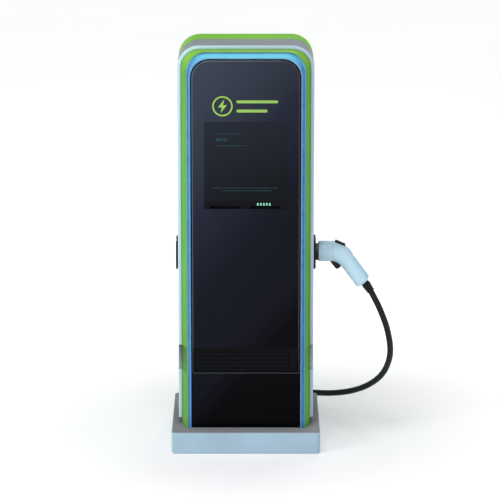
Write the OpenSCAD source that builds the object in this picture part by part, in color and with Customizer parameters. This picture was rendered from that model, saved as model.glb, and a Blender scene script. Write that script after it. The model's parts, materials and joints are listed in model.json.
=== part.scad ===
// Free-standing charging post: a painted two-tone cabinet on a square plinth, with a black glass front,
// an outlet on each side, a charging gun in the right-hand outlet and a rear service door.
// Front faces -Y, the gun hangs on the +X side, +Z is up, origin in the middle of the anchor holes.

/* [Plinth] */
// Width of the square plinth
plinth_w = 680; // [660:5:720]
// Height of the plinth
plinth_h = 104; // [95:1:120]
// Distance between anchor holes, both ways
anchor_pitch = 560; // [500:10:580]
// Radius of an anchor hole for an M16 stud
anchor_hole_r = 9; // [8:0.5:11]
// Radius of the supply cable entry
entry_r = 55; // [40:1:70]

/* [Cabinet] */
// Overall height of the post
post_h = 1872; // [1840:1:1960]
// Width of the cabinet
cabinet_w = 620; // [610:1:640]
// Outer radius of the top corners
corner_r = 101; // [95:1:110]
// Sheet thickness of the outer skins
skin_t = 3; // [2:0.5:4]
// Width of the hood's returned front lip
lip_w = 16; // [14:1:18]
// Open height between the plinth and the skins
skin_gap = 33; // [28:1:40]
// Depth from the origin to the hood's front lip
hood_front = 202; // [200:1:205]
// Depth from the origin to the rear face of the shell
shell_back = 168; // [166:1:175]

/* [Front] */
// Depth from the origin to the front face of the light frame
front_y = 267; // [264:1:275]
// Half width of the light frame
frame_half_w = 271; // [268:1:274]
// Height of the light frame's top edge
frame_top = 1852; // [1840:1:1855]
// Width of the light frame's sides
frame_side_w = 23; // [20:1:26]
// Width of the light frame's top bar
frame_top_w = 34; // [28:1:38]
// Gap between the light frame and the glass
glass_gap = 3.5; // [2:0.5:5]
// Underside of the air intake band
intake_low = 366; // [340:1:380]
// Height of the air intake band
intake_h = 116; // [90:1:130]

/* [Screen] */
// Width of the screen
screen_w = 376; // [340:1:390]
// Height of the screen
screen_h = 366; // [330:1:380]
// Underside of the screen
screen_low = 1168; // [1150:1:1180]
// Height of the reader bar under the screen
reader_h = 32; // [28:1:36]

/* [Outlets and gun] */
// Height of the outlets
outlet_z = 899; // [860:1:920]
// Depth position of the outlets, towards the front
outlet_front = 100; // [95:1:110]
// Height of an outlet plate
outlet_h = 144; // [140:1:160]
// Width of an outlet plate
outlet_w = 112; // [108:1:130]
// How far an outlet plate stands out
outlet_t = 11; // [10:0.5:12]
// Radius of the gun's connector
connector_r = 31.5; // [30:0.5:33]
// Width of the gun's body
gun_w = 76; // [68:1:80]

/* [Cable] */
// Diameter of the charging cable
cable_d = 28; // [24:1:30]
// Radius of the coil at the middle of its turns
coil_r = 165; // [150:1:170]

/* [Rear door] */
// Half width of the rear door
door_half_w = 280; // [275:1:282]
// Thickness of the rear door
door_t = 20; // [18:1:22]
// Radius of a hinge pin
pin_r = 3; // [2.5:0.5:3.5]

/* [Hidden] */
$fn = 64;

// Cabinet
half_w = cabinet_w / 2;
skin_low = plinth_h + skin_gap;
seam = 1;
skirt_t = 5;
cover_t = 4;
plate_t = 12;
lip_r = corner_r - lip_w;
lip_half = half_w - lip_w;
lip_top = post_h - lip_w;
pan_t = 4;
inner_low = skin_low + pan_t;
inner_front = 178;
inner_back = 160;
post_w = 30;
post_top = 1750;
frame_x = half_w - skin_t - 3;
opening_half = 262;
opening_low = 172;
opening_top = 1780;

// Front
frame_r = 92;
glass_half = frame_half_w - frame_side_w - glass_gap;
glass_top = frame_top - frame_top_w - glass_gap;
glass_r = 80;
glass_t = 6;
glass_front = front_y - 1;
frame_t = 20;
ledge_t = 13;
ledge_in = 8;
intake_top = intake_low + intake_h;
reader_low = screen_low - reader_h - 1;
fit_gap = 0.5;
slot_h = 12;
slot_low = 1136;
slot_left = [-163, 139];
slot_right = [19, 136];
light_left = 51;
light_low = 1150;
light_h = 12;
light_w = 7;
light_step = 13.5;

// Rear door
door_low = 152;
door_top = 1800;
door_y = shell_back + 3;
door_back = door_y + door_t;
hinge_x = -290;
hinge_y = door_back - 1;
hinge_z = [330, 960, 1600];
knuckle_r = 6.5;
knuckle_h = 28;
run_gap = 0.05;
lock_x = 248;
lock_z = 960;
lock_shaft_r = 6;
fan_x = 95;
fan_z = 1620;
fan_size = 120;
fan_depth = 38;
fan_bore_r = 56;
rotor_r = 54;
louvre_w = 360;
louvre_h = 8;
louvre_step = 22;

// Equipment
equip_y = -42;
module_w = 440;
module_h = 88;
module_d = 150;
module_step = 104;
module_low = 1150;
row_half = 240;
row_top = 1060;
rail_low = 640;
rail_t = 7.5;
isolator_x = -165;
isolator_z = 660;
isolator_face = equip_y + 92;
isolator_shaft_r = 8;

// Flap over the left outlet
lid_t = 6;
lid_pin_r = 1.5;
lid_pin_z = outlet_z + outlet_h / 2 - 9;
plate_screw_y = outlet_w / 2 - 9;
plate_screw_z = outlet_h / 2 - 10;

// Gun
gun_y = -outlet_front;
gun_z = outlet_z;
plate_x = half_w + outlet_t;
collar_end = plate_x + 13;
nose_end = plate_x + 80;
gun_tilt = 56;
trigger_pivot = [396, gun_z - 31];
trigger_pin_r = 2;
button_tilt = 24;
button_mid = [433.5, gun_z + 40.5];
gland_top = [552, gun_z - 150];
gland_len = 44;
gland_r = 21;

// Charging cable: where its middle line runs from the gun's gland to the coil
cable_route = [
    [578, -100, 710], [598, -100, 672], [618, -99, 630], [636, -97, 585], [650, -92, 545],
    [660, -84, 505], [668, -70, 462], [672, -48, 420], [671, -20, 377], [663, 18, 330],
    [648, 62, 283], [626, 108, 241], [596, 156, 203], [558, 206, 168], [512, 258, 138],
    [462, 310, 114], [408, 360, 96], [352, 411, 83], [296, 463, 73], [239, 516, 65],
    [181, 570, 59], [122, 625, 55], [62, 681, 52]
];
coil_x = -50;
coil_y = 560;
coil_h = 60;
tail_route = [[-215, 556, 15], [-215, 510, 17], [-215, 464, 26], [-215, 420, 36], [-215, 395, 40], [-215, 373, 40]];
rear_gland = [-215, plinth_w / 2, 40];
rear_gland_len = 32;

// ---------- helpers ----------

// Rectangle with round corners, centred
module round_rect(w, h, r) {
    square([w - 2 * r, h], center = true);
    square([w, h - 2 * r], center = true);
    for (sx = [-1, 1], sy = [-1, 1])
        translate([sx * (w / 2 - r), sy * (h / 2 - r)])
            circle(r);
}

// Outline with a flat foot and two round top corners, in width and height
module arch(half, low, top, r) {
    translate([-half, low])
        square([2 * half, top - low - r]);
    translate([-half + r, top - 2 * r])
        square([2 * (half - r), 2 * r]);
    for (s = [-1, 1])
        translate([s * (half - r), top - r])
            circle(r);
}

// Stands an outline up in width and height, and gives it a depth from y0 to y1
module upright(y0, y1) {
    translate([0, y1, 0])
        rotate([90, 0, 0])
            linear_extrude(y1 - y0)
                children();
}

// Lays an outline (depth across, height up) against a side wall, from x0 to x1
module sideways(x0, x1) {
    translate([x0, 0, 0])
        rotate([90, 0, 90])
            linear_extrude(x1 - x0)
                children();
}

// Upright box from its lowest to its highest corner
module block(low, high) {
    translate(low)
        cube(high - low);
}

// Direction from a to b, of length 1
function unit(v) = v / norm(v);

// Ring of points round a point of a route, square to the route
function ring(p, dir, r, n) =
    let (side = unit(cross(dir, [0.13, 0.2, 0.97])), up = cross(side, dir))
    [for (k = [0 : n - 1]) p + r * (cos(360 * k / n) * side + sin(360 * k / n) * up)];

// Direction of a route at its point i
function heading(route, i) =
    unit(route[min(i + 1, len(route) - 1)] - route[max(i - 1, 0)]);

// Tube of radius r along a route
module tube(route, r, n = 12) {
    count = len(route);
    points = [for (i = [0 : count - 1]) each ring(route[i], heading(route, i), r, n)];
    walls = [for (i = [0 : count - 2], k = [0 : n - 1])
        [i * n + k, i * n + (k + 1) % n, (i + 1) * n + (k + 1) % n, (i + 1) * n + k]];
    first = [for (k = [0 : n - 1]) n - 1 - k];
    last = [for (k = [0 : n - 1]) (count - 1) * n + k];
    polyhedron(points = points, faces = concat(walls, [first, last]), convexity = 6);
}

// ---------- plinth ----------

module base_plate() {
    color("dimgray")
        difference() {
            linear_extrude(plate_t)
                round_rect(plinth_w - 2 * skirt_t - 1, plinth_w - 2 * skirt_t - 1, 8);
            for (sx = [-1, 1], sy = [-1, 1])
                translate([sx * anchor_pitch / 2, sy * anchor_pitch / 2, -1])
                    cylinder(h = plate_t + 2, r = anchor_hole_r);
            translate([0, 0, -1])
                cylinder(h = plate_t + 2, r = entry_r);
        }
}

module plinth_skirt() {
    color("lightsteelblue")
        linear_extrude(plinth_h - cover_t)
            difference() {
                round_rect(plinth_w, plinth_w, 14);
                round_rect(plinth_w - 2 * skirt_t, plinth_w - 2 * skirt_t, 9);
            }
}

module plinth_top() {
    color("gray")
        difference() {
            translate([0, 0, plinth_h - cover_t])
                linear_extrude(cover_t)
                    round_rect(plinth_w, plinth_w, 14);
            translate([0, 0, plinth_h - cover_t - 1])
                cylinder(h = cover_t + 2, r = entry_r + 5);
        }
}

// ---------- cabinet frame ----------

module kick_plate() {
    wall = 3;
    color("darkslategray")
        difference() {
            block([-lip_half, -inner_front, plinth_h], [lip_half, inner_back, skin_low]);
            block([-lip_half + wall, -inner_front + wall, plinth_h - 1],
                  [lip_half - wall, inner_back - wall, skin_low + 1]);
        }
}

module floor_pan() {
    color("silver")
        difference() {
            block([-frame_x, -inner_front, skin_low], [frame_x, inner_back, inner_low]);
            translate([0, 0, skin_low - 1])
                cylinder(h = pan_t + 2, r = entry_r + 5);
        }
}

module side_frame(s) {
    x0 = s > 0 ? frame_x - post_w : -frame_x;
    mid_rail = 1030;
    color("silver")
        difference() {
            block([x0, -inner_front, inner_low], [x0 + post_w, inner_back, post_top]);
            block([x0 - 1, -inner_front + post_w, inner_low + post_w],
                  [x0 + post_w + 1, inner_back - post_w, mid_rail]);
            block([x0 - 1, -inner_front + post_w, mid_rail + post_w],
                  [x0 + post_w + 1, inner_back - post_w, post_top - post_w]);
        }
}

module side_frame_left() {
    side_frame(-1);
}

module side_frame_right() {
    side_frame(1);
}

module top_brace() {
    color("silver")
        difference() {
            block([-frame_x, -inner_front, post_top], [frame_x, inner_back, post_top + post_w]);
            block([-opening_half, -inner_front + post_w, post_top - 1],
                  [opening_half, inner_back - post_w, post_top + post_w + 1]);
        }
}

module equipment_plate() {
    color("gainsboro")
        block([-opening_half, equip_y - 3, inner_low], [opening_half, equip_y, post_top]);
}

// ---------- outer skins ----------

module front_hood() {
    color("lightblue")
        difference() {
            upright(-hood_front, -seam / 2)
                arch(half_w, skin_low, post_h, corner_r);
            upright(-hood_front + skin_t, 1)
                arch(half_w - skin_t, skin_low - 1, post_h - skin_t, corner_r - skin_t);
            upright(-hood_front - 1, -hood_front + skin_t + 1)
                arch(lip_half, skin_low - 1, lip_top, lip_r);
            translate([-half_w - 1, gun_y, outlet_z])
                rotate([0, 90, 0])
                    cylinder(h = cabinet_w + 2, r = 48);
        }
}

module rear_shell() {
    color("yellowgreen")
        difference() {
            upright(seam / 2, shell_back)
                arch(half_w, skin_low, post_h, corner_r);
            upright(-1, shell_back - skin_t)
                arch(half_w - skin_t, skin_low - 1, post_h - skin_t, corner_r - skin_t);
            block([-opening_half, 0, opening_low], [opening_half, shell_back + 1, opening_top]);
        }
}

// ---------- rear door ----------

// One bank of horizontal air slots through the door
module louvres(low, count) {
    for (i = [0 : count - 1])
        translate([0, 0, low + i * louvre_step])
            upright(door_y - 1, door_back + 1)
                round_rect(louvre_w, louvre_h, 3.9);
}

module rear_door() {
    wall = 3;
    color("yellowgreen")
        difference() {
            translate([0, 0, (door_low + door_top) / 2])
                upright(door_y, door_back)
                    round_rect(2 * door_half_w, door_top - door_low, 12);
            translate([0, 0, (door_low + door_top) / 2])
                upright(door_y - 1, door_back - wall)
                    round_rect(2 * (door_half_w - 14), door_top - door_low - 28, 8);
            louvres(fan_z - 3 * louvre_step, 7);
            louvres(260, 9);
            translate([lock_x, door_y - 1, lock_z])
                rotate([-90, 0, 0])
                    cylinder(h = door_t + 2, r = lock_shaft_r + run_gap);
        }
}

module door_gasket() {
    height = opening_top - opening_low;
    color("black")
        translate([0, 0, (opening_top + opening_low) / 2])
            upright(shell_back, door_y)
                difference() {
                    round_rect(2 * opening_half + 24, height + 24, 9);
                    round_rect(2 * opening_half + 4, height + 4, 5);
                }
}

// Hinge barrel with its bore, at height z
module knuckle(z) {
    difference() {
        children();
        translate([hinge_x, hinge_y, z - 1])
            cylinder(h = knuckle_h + 2, r = pin_r + run_gap);
    }
}

module hinge_fixed_leaves() {
    color("silver")
        for (z = hinge_z)
            knuckle(z)
                union() {
                    translate([hinge_x, hinge_y, z])
                        cylinder(h = knuckle_h, r = knuckle_r);
                    block([hinge_x - knuckle_r, shell_back, z], [hinge_x + 2, hinge_y, z + knuckle_h]);
                }
}

module hinge_door_leaves() {
    color("silver")
        for (z = hinge_z)
            translate([0, 0, knuckle_h + 0.5])
                knuckle(z)
                    union() {
                        translate([hinge_x, hinge_y, z])
                            cylinder(h = knuckle_h, r = knuckle_r);
                        block([hinge_x, door_back, z], [hinge_x + 34, door_back + 4, z + knuckle_h]);
                    }
}

module hinge_pins() {
    length = 2 * knuckle_h + 3;
    color("gray")
        for (z = hinge_z) {
            translate([hinge_x, hinge_y, z - 1])
                cylinder(h = length, r = pin_r);
            translate([hinge_x, hinge_y, z - 3])
                cylinder(h = 2.7, r = pin_r + 2);
        }
}

module lock_plate() {
    color("dimgray")
        difference() {
            translate([lock_x, 0, lock_z])
                upright(door_back, door_back + 4)
                    round_rect(38, 150, 10);
            translate([lock_x, door_back - 1, lock_z])
                rotate([-90, 0, 0])
                    cylinder(h = 6, r = lock_shaft_r + run_gap);
        }
}

// Turning handle, its shaft and the cam behind the door, in one piece
module lock_handle() {
    cam_y = shell_back - 7;
    grip_y = door_back + 4.3;
    color("black") {
        translate([lock_x, cam_y, lock_z])
            rotate([-90, 0, 0])
                cylinder(h = grip_y - cam_y + 4, r = lock_shaft_r);
        translate([lock_x, 0, lock_z - 14])
            upright(cam_y, cam_y + 3)
                round_rect(16, 44, 6);
        translate([lock_x, 0, lock_z])
            upright(grip_y, grip_y + 14)
                round_rect(22, 104, 9);
    }
}

// ---------- front ----------

// Flared shell between the hood's lip and the light frame, grown or shrunk by g
module flare(g) {
    hull() {
        upright(-hood_front - 0.5, -hood_front + 0.5, $fn = 64)
            arch(lip_half - 0.4 + g, plinth_h, lip_top - 0.4 + g, lip_r);
        upright(-front_y + 1 + min(g, 0), -front_y + 2, $fn = 64)
            arch(frame_half_w + 1 + g, plinth_h, frame_top + 1 + g, frame_r);
    }
}

module chamfer_frame() {
    collar = 4;
    notch_d = 12;
    color("limegreen")
        difference() {
            union() {
                flare(0);
                upright(-hood_front, -inner_front - 1)
                    arch(lip_half - 0.4, plinth_h, lip_top - 0.4, lip_r);
            }
            translate([0, 0, -1])
                upright(-front_y - 1, -front_y + frame_t + 1)
                    arch(frame_half_w + 0.3, plinth_h, frame_top + 1.3, frame_r);
            translate([0, 0, -1])
                upright(-front_y + frame_t, 0)
                    arch(frame_half_w - collar, plinth_h, frame_top - collar, frame_r - collar);
            for (s = [-1, 1])
                translate([s * (frame_half_w + 20), -front_y, (intake_low + intake_top) / 2])
                    cube([38, 2 * notch_d, intake_h], center = true);
        }
}

module light_frame() {
    color("deepskyblue")
        difference() {
            upright(-front_y, -front_y + frame_t)
                arch(frame_half_w, plinth_h, frame_top, frame_r);
            translate([0, 0, -1])
                upright(-front_y - 1, -front_y + frame_t - ledge_t)
                    arch(glass_half + glass_gap, plinth_h, glass_top + glass_gap, glass_r + glass_gap);
            translate([0, 0, -1])
                upright(-front_y - 1, -front_y + frame_t + 1)
                    arch(glass_half - ledge_in, plinth_h, glass_top - ledge_in, glass_r - ledge_in);
        }
}

module glass_fascia() {
    screen_mid = (reader_low + screen_low + screen_h) / 2;
    screen_full = screen_low + screen_h - reader_low;
    color("black")
        difference() {
            upright(-glass_front, -glass_front + glass_t)
                arch(glass_half, intake_top, glass_top, glass_r);
            translate([0, 0, screen_mid])
                upright(-glass_front - 1, -glass_front + glass_t + 1)
                    square([screen_w + 2 * fit_gap, screen_full + 2 * fit_gap], center = true);
        }
}

module lower_panel() {
    color("black")
        block([-glass_half, -glass_front, plinth_h + 2], [glass_half, -glass_front + glass_t, intake_low]);
}

module intake_grille() {
    slot_count = 5;
    pitch = 18;
    recess = 14;
    half = glass_half - ledge_in - fit_gap;
    color("dimgray")
        difference() {
            block([-half, -glass_front + recess, intake_low], [half, -glass_front + recess + 4, intake_top]);
            for (i = [0 : slot_count - 1])
                translate([0, 0, intake_low + 22 + i * pitch])
                    upright(-glass_front, -glass_front + 30)
                        round_rect(2 * half - 60, 8, 3.9);
        }
}

module intake_filter() {
    recess = 18;
    color("darkgray")
        block([-glass_half + 17, -glass_front + recess + 0.2, intake_low + 4],
              [glass_half - 17, -glass_front + recess + 14, intake_top - 4]);
}

module screen_glass() {
    color("midnightblue")
        block([-screen_w / 2, -glass_front + 0.6, screen_low],
              [screen_w / 2, -glass_front + 4, screen_low + screen_h]);
}

module display_module() {
    color("silver")
        block([-screen_w / 2 + 4, -glass_front + glass_t + 2, screen_low + 4],
              [screen_w / 2 - 4, -glass_front + 48, screen_low + screen_h - 4]);
}

module reader_bar() {
    mid = reader_low + reader_h / 2;
    color("black")
        difference() {
            block([-screen_w / 2, -glass_front + 0.6, reader_low],
                  [screen_w / 2, -glass_front + 24, reader_low + reader_h]);
            for (slot = [slot_left, slot_right])
                block([slot[0], -glass_front - 1, slot_low],
                      [slot[0] + slot[1], -glass_front + 18, slot_low + slot_h]);
            for (i = [0 : 4])
                translate([light_left + i * light_step, -glass_front, light_low])
                    cube([light_w, 3, light_h]);
        }
}

module status_lights() {
    color("mediumseagreen")
        for (i = [0 : 4])
            translate([light_left + i * light_step + 0.1, -glass_front + 0.4, light_low + 0.1])
                cube([light_w - 0.2, 2.6, light_h - 0.2]);
}

// Raised generic mark: a bolt in a round badge and two plain bars
module front_mark() {
    mark_z = 1607;
    bar_h = 13;
    color("limegreen")
        upright(-glass_front - 0.6, -glass_front) {
            translate([-105, mark_z])
                difference() {
                    circle(46);
                    circle(39);
                }
            translate([-105, mark_z])
                polygon([[8, 31], [-20, -5], [-3, -5], [-8, -31], [20, 5], [3, 5]]);
            translate([52, mark_z + 20])
                round_rect(188, bar_h, bar_h / 2 - 0.5);
            translate([28, mark_z - 22])
                round_rect(140, bar_h, bar_h / 2 - 0.5);
        }
}

// ---------- equipment ----------

module power_module(i) {
    z = module_low + i * module_step;
    ear = 18;
    color("lightgray") {
        difference() {
            block([-module_w / 2, equip_y, z], [module_w / 2, equip_y + module_d, z + module_h]);
            for (k = [-3 : 3])
                translate([k * 52, 0, z + module_h / 2])
                    upright(equip_y + module_d - 6, equip_y + module_d + 1)
                        round_rect(34, 60, 6);
        }
        block([-module_w / 2 - ear, equip_y, z], [-module_w / 2, equip_y + 3, z + module_h]);
        block([module_w / 2, equip_y, z], [module_w / 2 + ear, equip_y + 3, z + module_h]);
    }
}

module power_module_1() {
    power_module(0);
}

module power_module_2() {
    power_module(1);
}

module power_module_3() {
    power_module(2);
}

// Controller with its row of plug-in terminals
module controller_box() {
    left = -row_half;
    low = 860;
    depth = 70;
    plug = 24;
    color("darkolivegreen") {
        block([left, equip_y, low], [left + 260, equip_y + depth, row_top]);
        for (i = [0 : 5])
            translate([left + 14 + i * 38, equip_y + depth, low + 16])
                cube([plug, 14, 14]);
    }
}

// Mounting rail with the thin screen bar above it
module din_rail() {
    color("silver") {
        block([-row_half, equip_y, rail_low], [row_half, equip_y + rail_t, rail_low + 35]);
        block([-row_half, equip_y, rail_low + 40], [row_half, equip_y + 1, rail_low + 46]);
    }
}

module isolator_body() {
    half = 60;
    color("dimgray")
        difference() {
            block([isolator_x - half, equip_y + rail_t, isolator_z - half],
                  [isolator_x + half, isolator_face, isolator_z + half]);
            translate([isolator_x, isolator_face - 32, isolator_z])
                rotate([-90, 0, 0])
                    cylinder(h = 60, r = isolator_shaft_r + run_gap);
        }
}

// Rotary handle: shaft, round boss and grip bar
module isolator_handle() {
    boss_y = isolator_face + 0.4;
    boss_t = 12;
    color("red") {
        translate([isolator_x, isolator_face - 30, isolator_z])
            rotate([-90, 0, 0])
                cylinder(h = 34, r = isolator_shaft_r);
        translate([isolator_x, boss_y, isolator_z])
            rotate([-90, 0, 0])
                cylinder(h = boss_t, r = 26);
        translate([isolator_x, 0, isolator_z])
            upright(boss_y + boss_t, boss_y + boss_t + 17.6)
                round_rect(16, 62, 7);
    }
}

// Two contactors on the rail, each with an upper and a lower terminal strip
module contactors() {
    width = 86;
    height = 100;
    depth = 88;
    low = 610;
    color("darkslateblue")
        for (i = [0, 1])
            translate([-70 + i * 110, equip_y, low]) {
                block([0, rail_t, 0], [width, depth, height]);
                for (z = [12, height - 30])
                    block([10, depth, z], [width - 10, depth + 10, z + 18]);
            }
}

// Low-voltage supply with cooling slots in its face
module supply_unit() {
    left = 70;
    low = 840;
    depth = 60;
    color("silver")
        difference() {
            block([left, equip_y, low], [row_half, equip_y + depth, row_top]);
            for (i = [0 : 9])
                block([left + 14, equip_y + depth - 4, low + 16 + i * 20],
                      [row_half - 14, equip_y + depth + 1, low + 24 + i * 20]);
        }
}

module earth_bar() {
    half = 180;
    low = 430;
    hole_step = 40;
    color("peru")
        difference() {
            block([-half, equip_y, low], [half, equip_y + 8, low + 30]);
            for (i = [-4 : 4])
                translate([i * hole_step, equip_y - 1, low + 15])
                    rotate([-90, 0, 0])
                        cylinder(h = 10, r = 4.5);
        }
}

// ---------- fans ----------

module fan_frames() {
    back = door_back - 3;
    color("dimgray")
        for (s = [-1, 1])
            translate([s * fan_x, 0, fan_z])
                difference() {
                    upright(back - fan_depth, back)
                        round_rect(fan_size, fan_size, 6);
                    upright(back - fan_depth - 1, back - 5)
                        circle(fan_bore_r);
                    for (a = [45 : 90 : 315])
                        rotate([0, a, 0])
                            translate([28, 0, 0])
                                rotate([-90, 0, 0])
                                    cylinder(h = 400, r = 17);
                }
}

module fan_rotor(x) {
    back = door_back - 3 - 7;
    hub_r = 21;
    blades = 7;
    color("black")
        translate([x, 0, fan_z]) {
            upright(back - 27, back)
                circle(hub_r);
            for (i = [0 : blades - 1])
                rotate([0, i * 360 / blades, 0])
                    translate([hub_r - 3, back - 12, 0])
                        rotate([38, 0, 0])
                            translate([0, -1.2, -13])
                                cube([rotor_r - hub_r, 2.4, 26]);
        }
}

module fan_rotor_left() {
    fan_rotor(-fan_x);
}

module fan_rotor_right() {
    fan_rotor(fan_x);
}

// ---------- outlets ----------

// Outlet plate outline with its round hole, in depth and height
module outlet_outline(hole_r) {
    translate([gun_y, outlet_z])
        difference() {
            round_rect(outlet_w, outlet_h, 16);
            circle(hole_r);
        }
}

module outlet_plate_right() {
    color("darkslategray")
        difference() {
            sideways(half_w, plate_x)
                outlet_outline(connector_r + 6);
            plate_screw_holes(plate_x - 3);
        }
}

module outlet_plate_left() {
    color("darkslategray")
        difference() {
            sideways(-plate_x + lid_t, -half_w)
                outlet_outline(connector_r + 6);
            plate_screw_holes(-half_w - 3);
        }
}

// Four countersunk places near the corners of a plate
module plate_screw_holes(x) {
    for (sy = [-1, 1], sz = [-1, 1])
        translate([x, gun_y + sy * plate_screw_y, outlet_z + sz * plate_screw_z])
            rotate([0, 90, 0])
                cylinder(h = 4, r = 4.1);
}

module plate_screws() {
    color("silver")
        for (sy = [-1, 1], sz = [-1, 1])
            translate([plate_x - 3, gun_y + sy * plate_screw_y, outlet_z + sz * plate_screw_z])
                rotate([0, 90, 0])
                    cylinder(h = 2.6, r = 4);
}

// Cup behind the right-hand plate that the gun's connector rests in
module holster_cup() {
    wall = 5;
    depth = 74;
    color("black")
        translate([half_w - depth, gun_y, outlet_z])
            rotate([0, 90, 0])
                difference() {
                    cylinder(h = depth, r = connector_r + 0.5 + wall);
                    translate([0, 0, wall])
                        cylinder(h = depth, r = connector_r + 0.5);
                }
}

// Socket behind the left-hand plate, with its contact holes
module outlet_insert() {
    depth = 60;
    color("black")
        translate([-half_w, gun_y, outlet_z])
            rotate([0, 90, 0])
                difference() {
                    cylinder(h = depth, r = connector_r + 5);
                    translate([0, 0, -1])
                        cylinder(h = 31, r = connector_r);
                    for (a = [0 : 60 : 300])
                        rotate([0, 0, a])
                            translate([18, 0, 25])
                                cylinder(h = 20, r = 4);
                    translate([0, 0, 25])
                        cylinder(h = 20, r = 4);
                }
}

// Flap over the left-hand socket, hinged along its top edge
module outlet_lid() {
    sheet = lid_t - 0.3;
    lid_h = outlet_h - 18;
    color("darkslategray")
        difference() {
            union() {
                sideways(-plate_x, -plate_x + sheet)
                    translate([gun_y, outlet_z - (outlet_h - lid_h) / 2])
                        round_rect(outlet_w, lid_h, 14);
                sideways(-plate_x, -plate_x + sheet)
                    translate([gun_y, lid_pin_z - 10])
                        square([60, 20], center = true);
                translate([-plate_x + sheet / 2, gun_y + 30, lid_pin_z])
                    rotate([90, 0, 0])
                        cylinder(h = 60, r = sheet / 2);
            }
            translate([-plate_x + sheet / 2, gun_y + 31, lid_pin_z])
                rotate([90, 0, 0])
                    cylinder(h = 62, r = lid_pin_r + run_gap);
        }
}

// Pin of the flap, with the two ears that hold it to the plate
module lid_pin() {
    sheet = lid_t - 0.3;
    color("silver") {
        translate([-plate_x + sheet / 2, gun_y + 40, lid_pin_z])
            rotate([90, 0, 0])
                cylinder(h = 80, r = lid_pin_r);
        for (s = [-1, 1])
            translate([-plate_x + lid_t / 2, gun_y + s * 36, lid_pin_z])
                cube([lid_t, 8, 8], center = true);
    }
}

// ---------- gun ----------

// Outline of the gun's body, in width and height: barrel, shoulder and sloping grip with a blunt foot
module gun_outline() {
    polygon([
        [nose_end, gun_z - 46], [nose_end, gun_z + 46], [408, gun_z + 47], [459, gun_z + 27],
        [486, gun_z + 3], [496, gun_z - 16], [566, gun_z - 111], [566, gun_z - 137],
        [536, gun_z - 159], [518, gun_z - 165], [509, gun_z - 162], [443, gun_z - 73],
        [434, gun_z - 62], [418, gun_z - 50]
    ]);
}

// One half of the gun's body: s = 1 for the side towards the rear
module gun_shell(s) {
    y0 = s > 0 ? gun_y : gun_y - gun_w / 2;
    color("lightblue")
        difference() {
            upright(y0, y0 + gun_w / 2)
                gun_outline();
            upright(gun_y - 9, gun_y + 9)
                trigger_pocket();
            translate([button_mid[0], gun_y, button_mid[1]])
                rotate([0, button_tilt, 0])
                    translate([0, 0, 3])
                        cube([51, 25, 26], center = true);
            translate([gland_top[0], gun_y, gland_top[1]])
                rotate([0, gun_tilt + 90, 0])
                    translate([0, 0, -30])
                        cylinder(h = 120, r = gland_r - 5);
        }
}

module gun_shell_left() {
    gun_shell(-1);
}

module gun_shell_right() {
    gun_shell(1);
}

// Room for the trigger in the underside of the barrel
module trigger_pocket() {
    polygon([
        [384, gun_z - 100], [384, gun_z - 40], [388, gun_z - 18], [450, gun_z - 18],
        [472, gun_z - 32], [472, gun_z - 52], [448, gun_z - 100]
    ]);
}

// Sleeve round the front of the gun, with the slot and the pin of the trigger
module gun_nose() {
    pin_len = 26;
    color("lightblue") {
        translate([0, gun_y, gun_z])
            rotate([0, 90, 0])
                difference() {
                    translate([0, 0, collar_end])
                        cylinder(h = nose_end - collar_end, r = 47);
                    translate([0, 0, collar_end - 1])
                        cylinder(h = nose_end - collar_end + 2, r = connector_r + 1);
                    translate([-trigger_pivot[1] + gun_z, 0, trigger_pivot[0]])
                        cube([60, 18, 24], center = true);
                }
        translate([trigger_pivot[0], gun_y - pin_len / 2, trigger_pivot[1]])
            rotate([-90, 0, 0])
                cylinder(h = pin_len, r = trigger_pin_r);
    }
}

// Connector that plugs into the cup, with its collar and blind contact holes
module gun_connector() {
    tip_x = half_w - 60;
    color("black")
        translate([0, gun_y, gun_z])
            rotate([0, 90, 0])
                difference() {
                    union() {
                        translate([0, 0, tip_x])
                            cylinder(h = trigger_pivot[0] - 16 - tip_x, r = connector_r);
                        translate([0, 0, plate_x + 0.4])
                            cylinder(h = collar_end - plate_x - 0.4, r = 39);
                    }
                    for (a = [30 : 60 : 330])
                        rotate([0, 0, a])
                            translate([19, 0, tip_x - 1])
                                cylinder(h = 31, r = 4.2);
                    translate([0, 0, tip_x - 1])
                        cylinder(h = 31, r = 4.2);
                }
}

module gun_trigger() {
    px = trigger_pivot[0];
    pz = trigger_pivot[1];
    color("black")
        difference() {
            upright(gun_y - 8, gun_y + 8)
                polygon([
                    [px - 7, pz + 3], [px - 8, pz - 15], [px + 16, pz - 46], [px + 26, pz - 51],
                    [px + 42, pz - 38], [px + 54, pz - 20], [px + 46, pz - 4], [px, pz + 7]
                ]);
            translate([px, gun_y - 10, pz])
                rotate([-90, 0, 0])
                    cylinder(h = 20, r = trigger_pin_r + run_gap);
        }
}

module gun_button() {
    color("black")
        translate([button_mid[0], gun_y, button_mid[1]])
            rotate([0, button_tilt, 0])
                cube([50, 24, 12], center = true);
}

// Ribbed bend relief at the foot of the grip
module gun_gland() {
    ribs = 4;
    color("black")
        translate([gland_top[0], gun_y, gland_top[1]])
            rotate([0, gun_tilt + 90, 0]) {
                translate([0, 0, -20])
                    cylinder(h = 20 + gland_len, r = gland_r - 5.2);
                for (i = [0 : ribs - 1])
                    translate([0, 0, 15 + i * 7.5])
                        cylinder(h = 4.5, r = gland_r - i * 1.2);
            }
}

// ---------- cable ----------

module cable_run() {
    color("black")
        tube(cable_route, cable_d / 2);
}

module cable_coil() {
    color("black")
        translate([coil_x, coil_y, 0.4])
            rotate_extrude()
                translate([coil_r, coil_h / 2])
                    round_rect(cable_d, coil_h, 13);
}

module cable_tail() {
    color("black")
        tube(tail_route, cable_d / 2);
}

module cable_gland() {
    color("black")
        translate(rear_gland)
            rotate([-90, 0, 0]) {
                cylinder(h = 8, r = 26, $fn = 6);
                cylinder(h = rear_gland_len, r = 20);
            }
}

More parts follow.
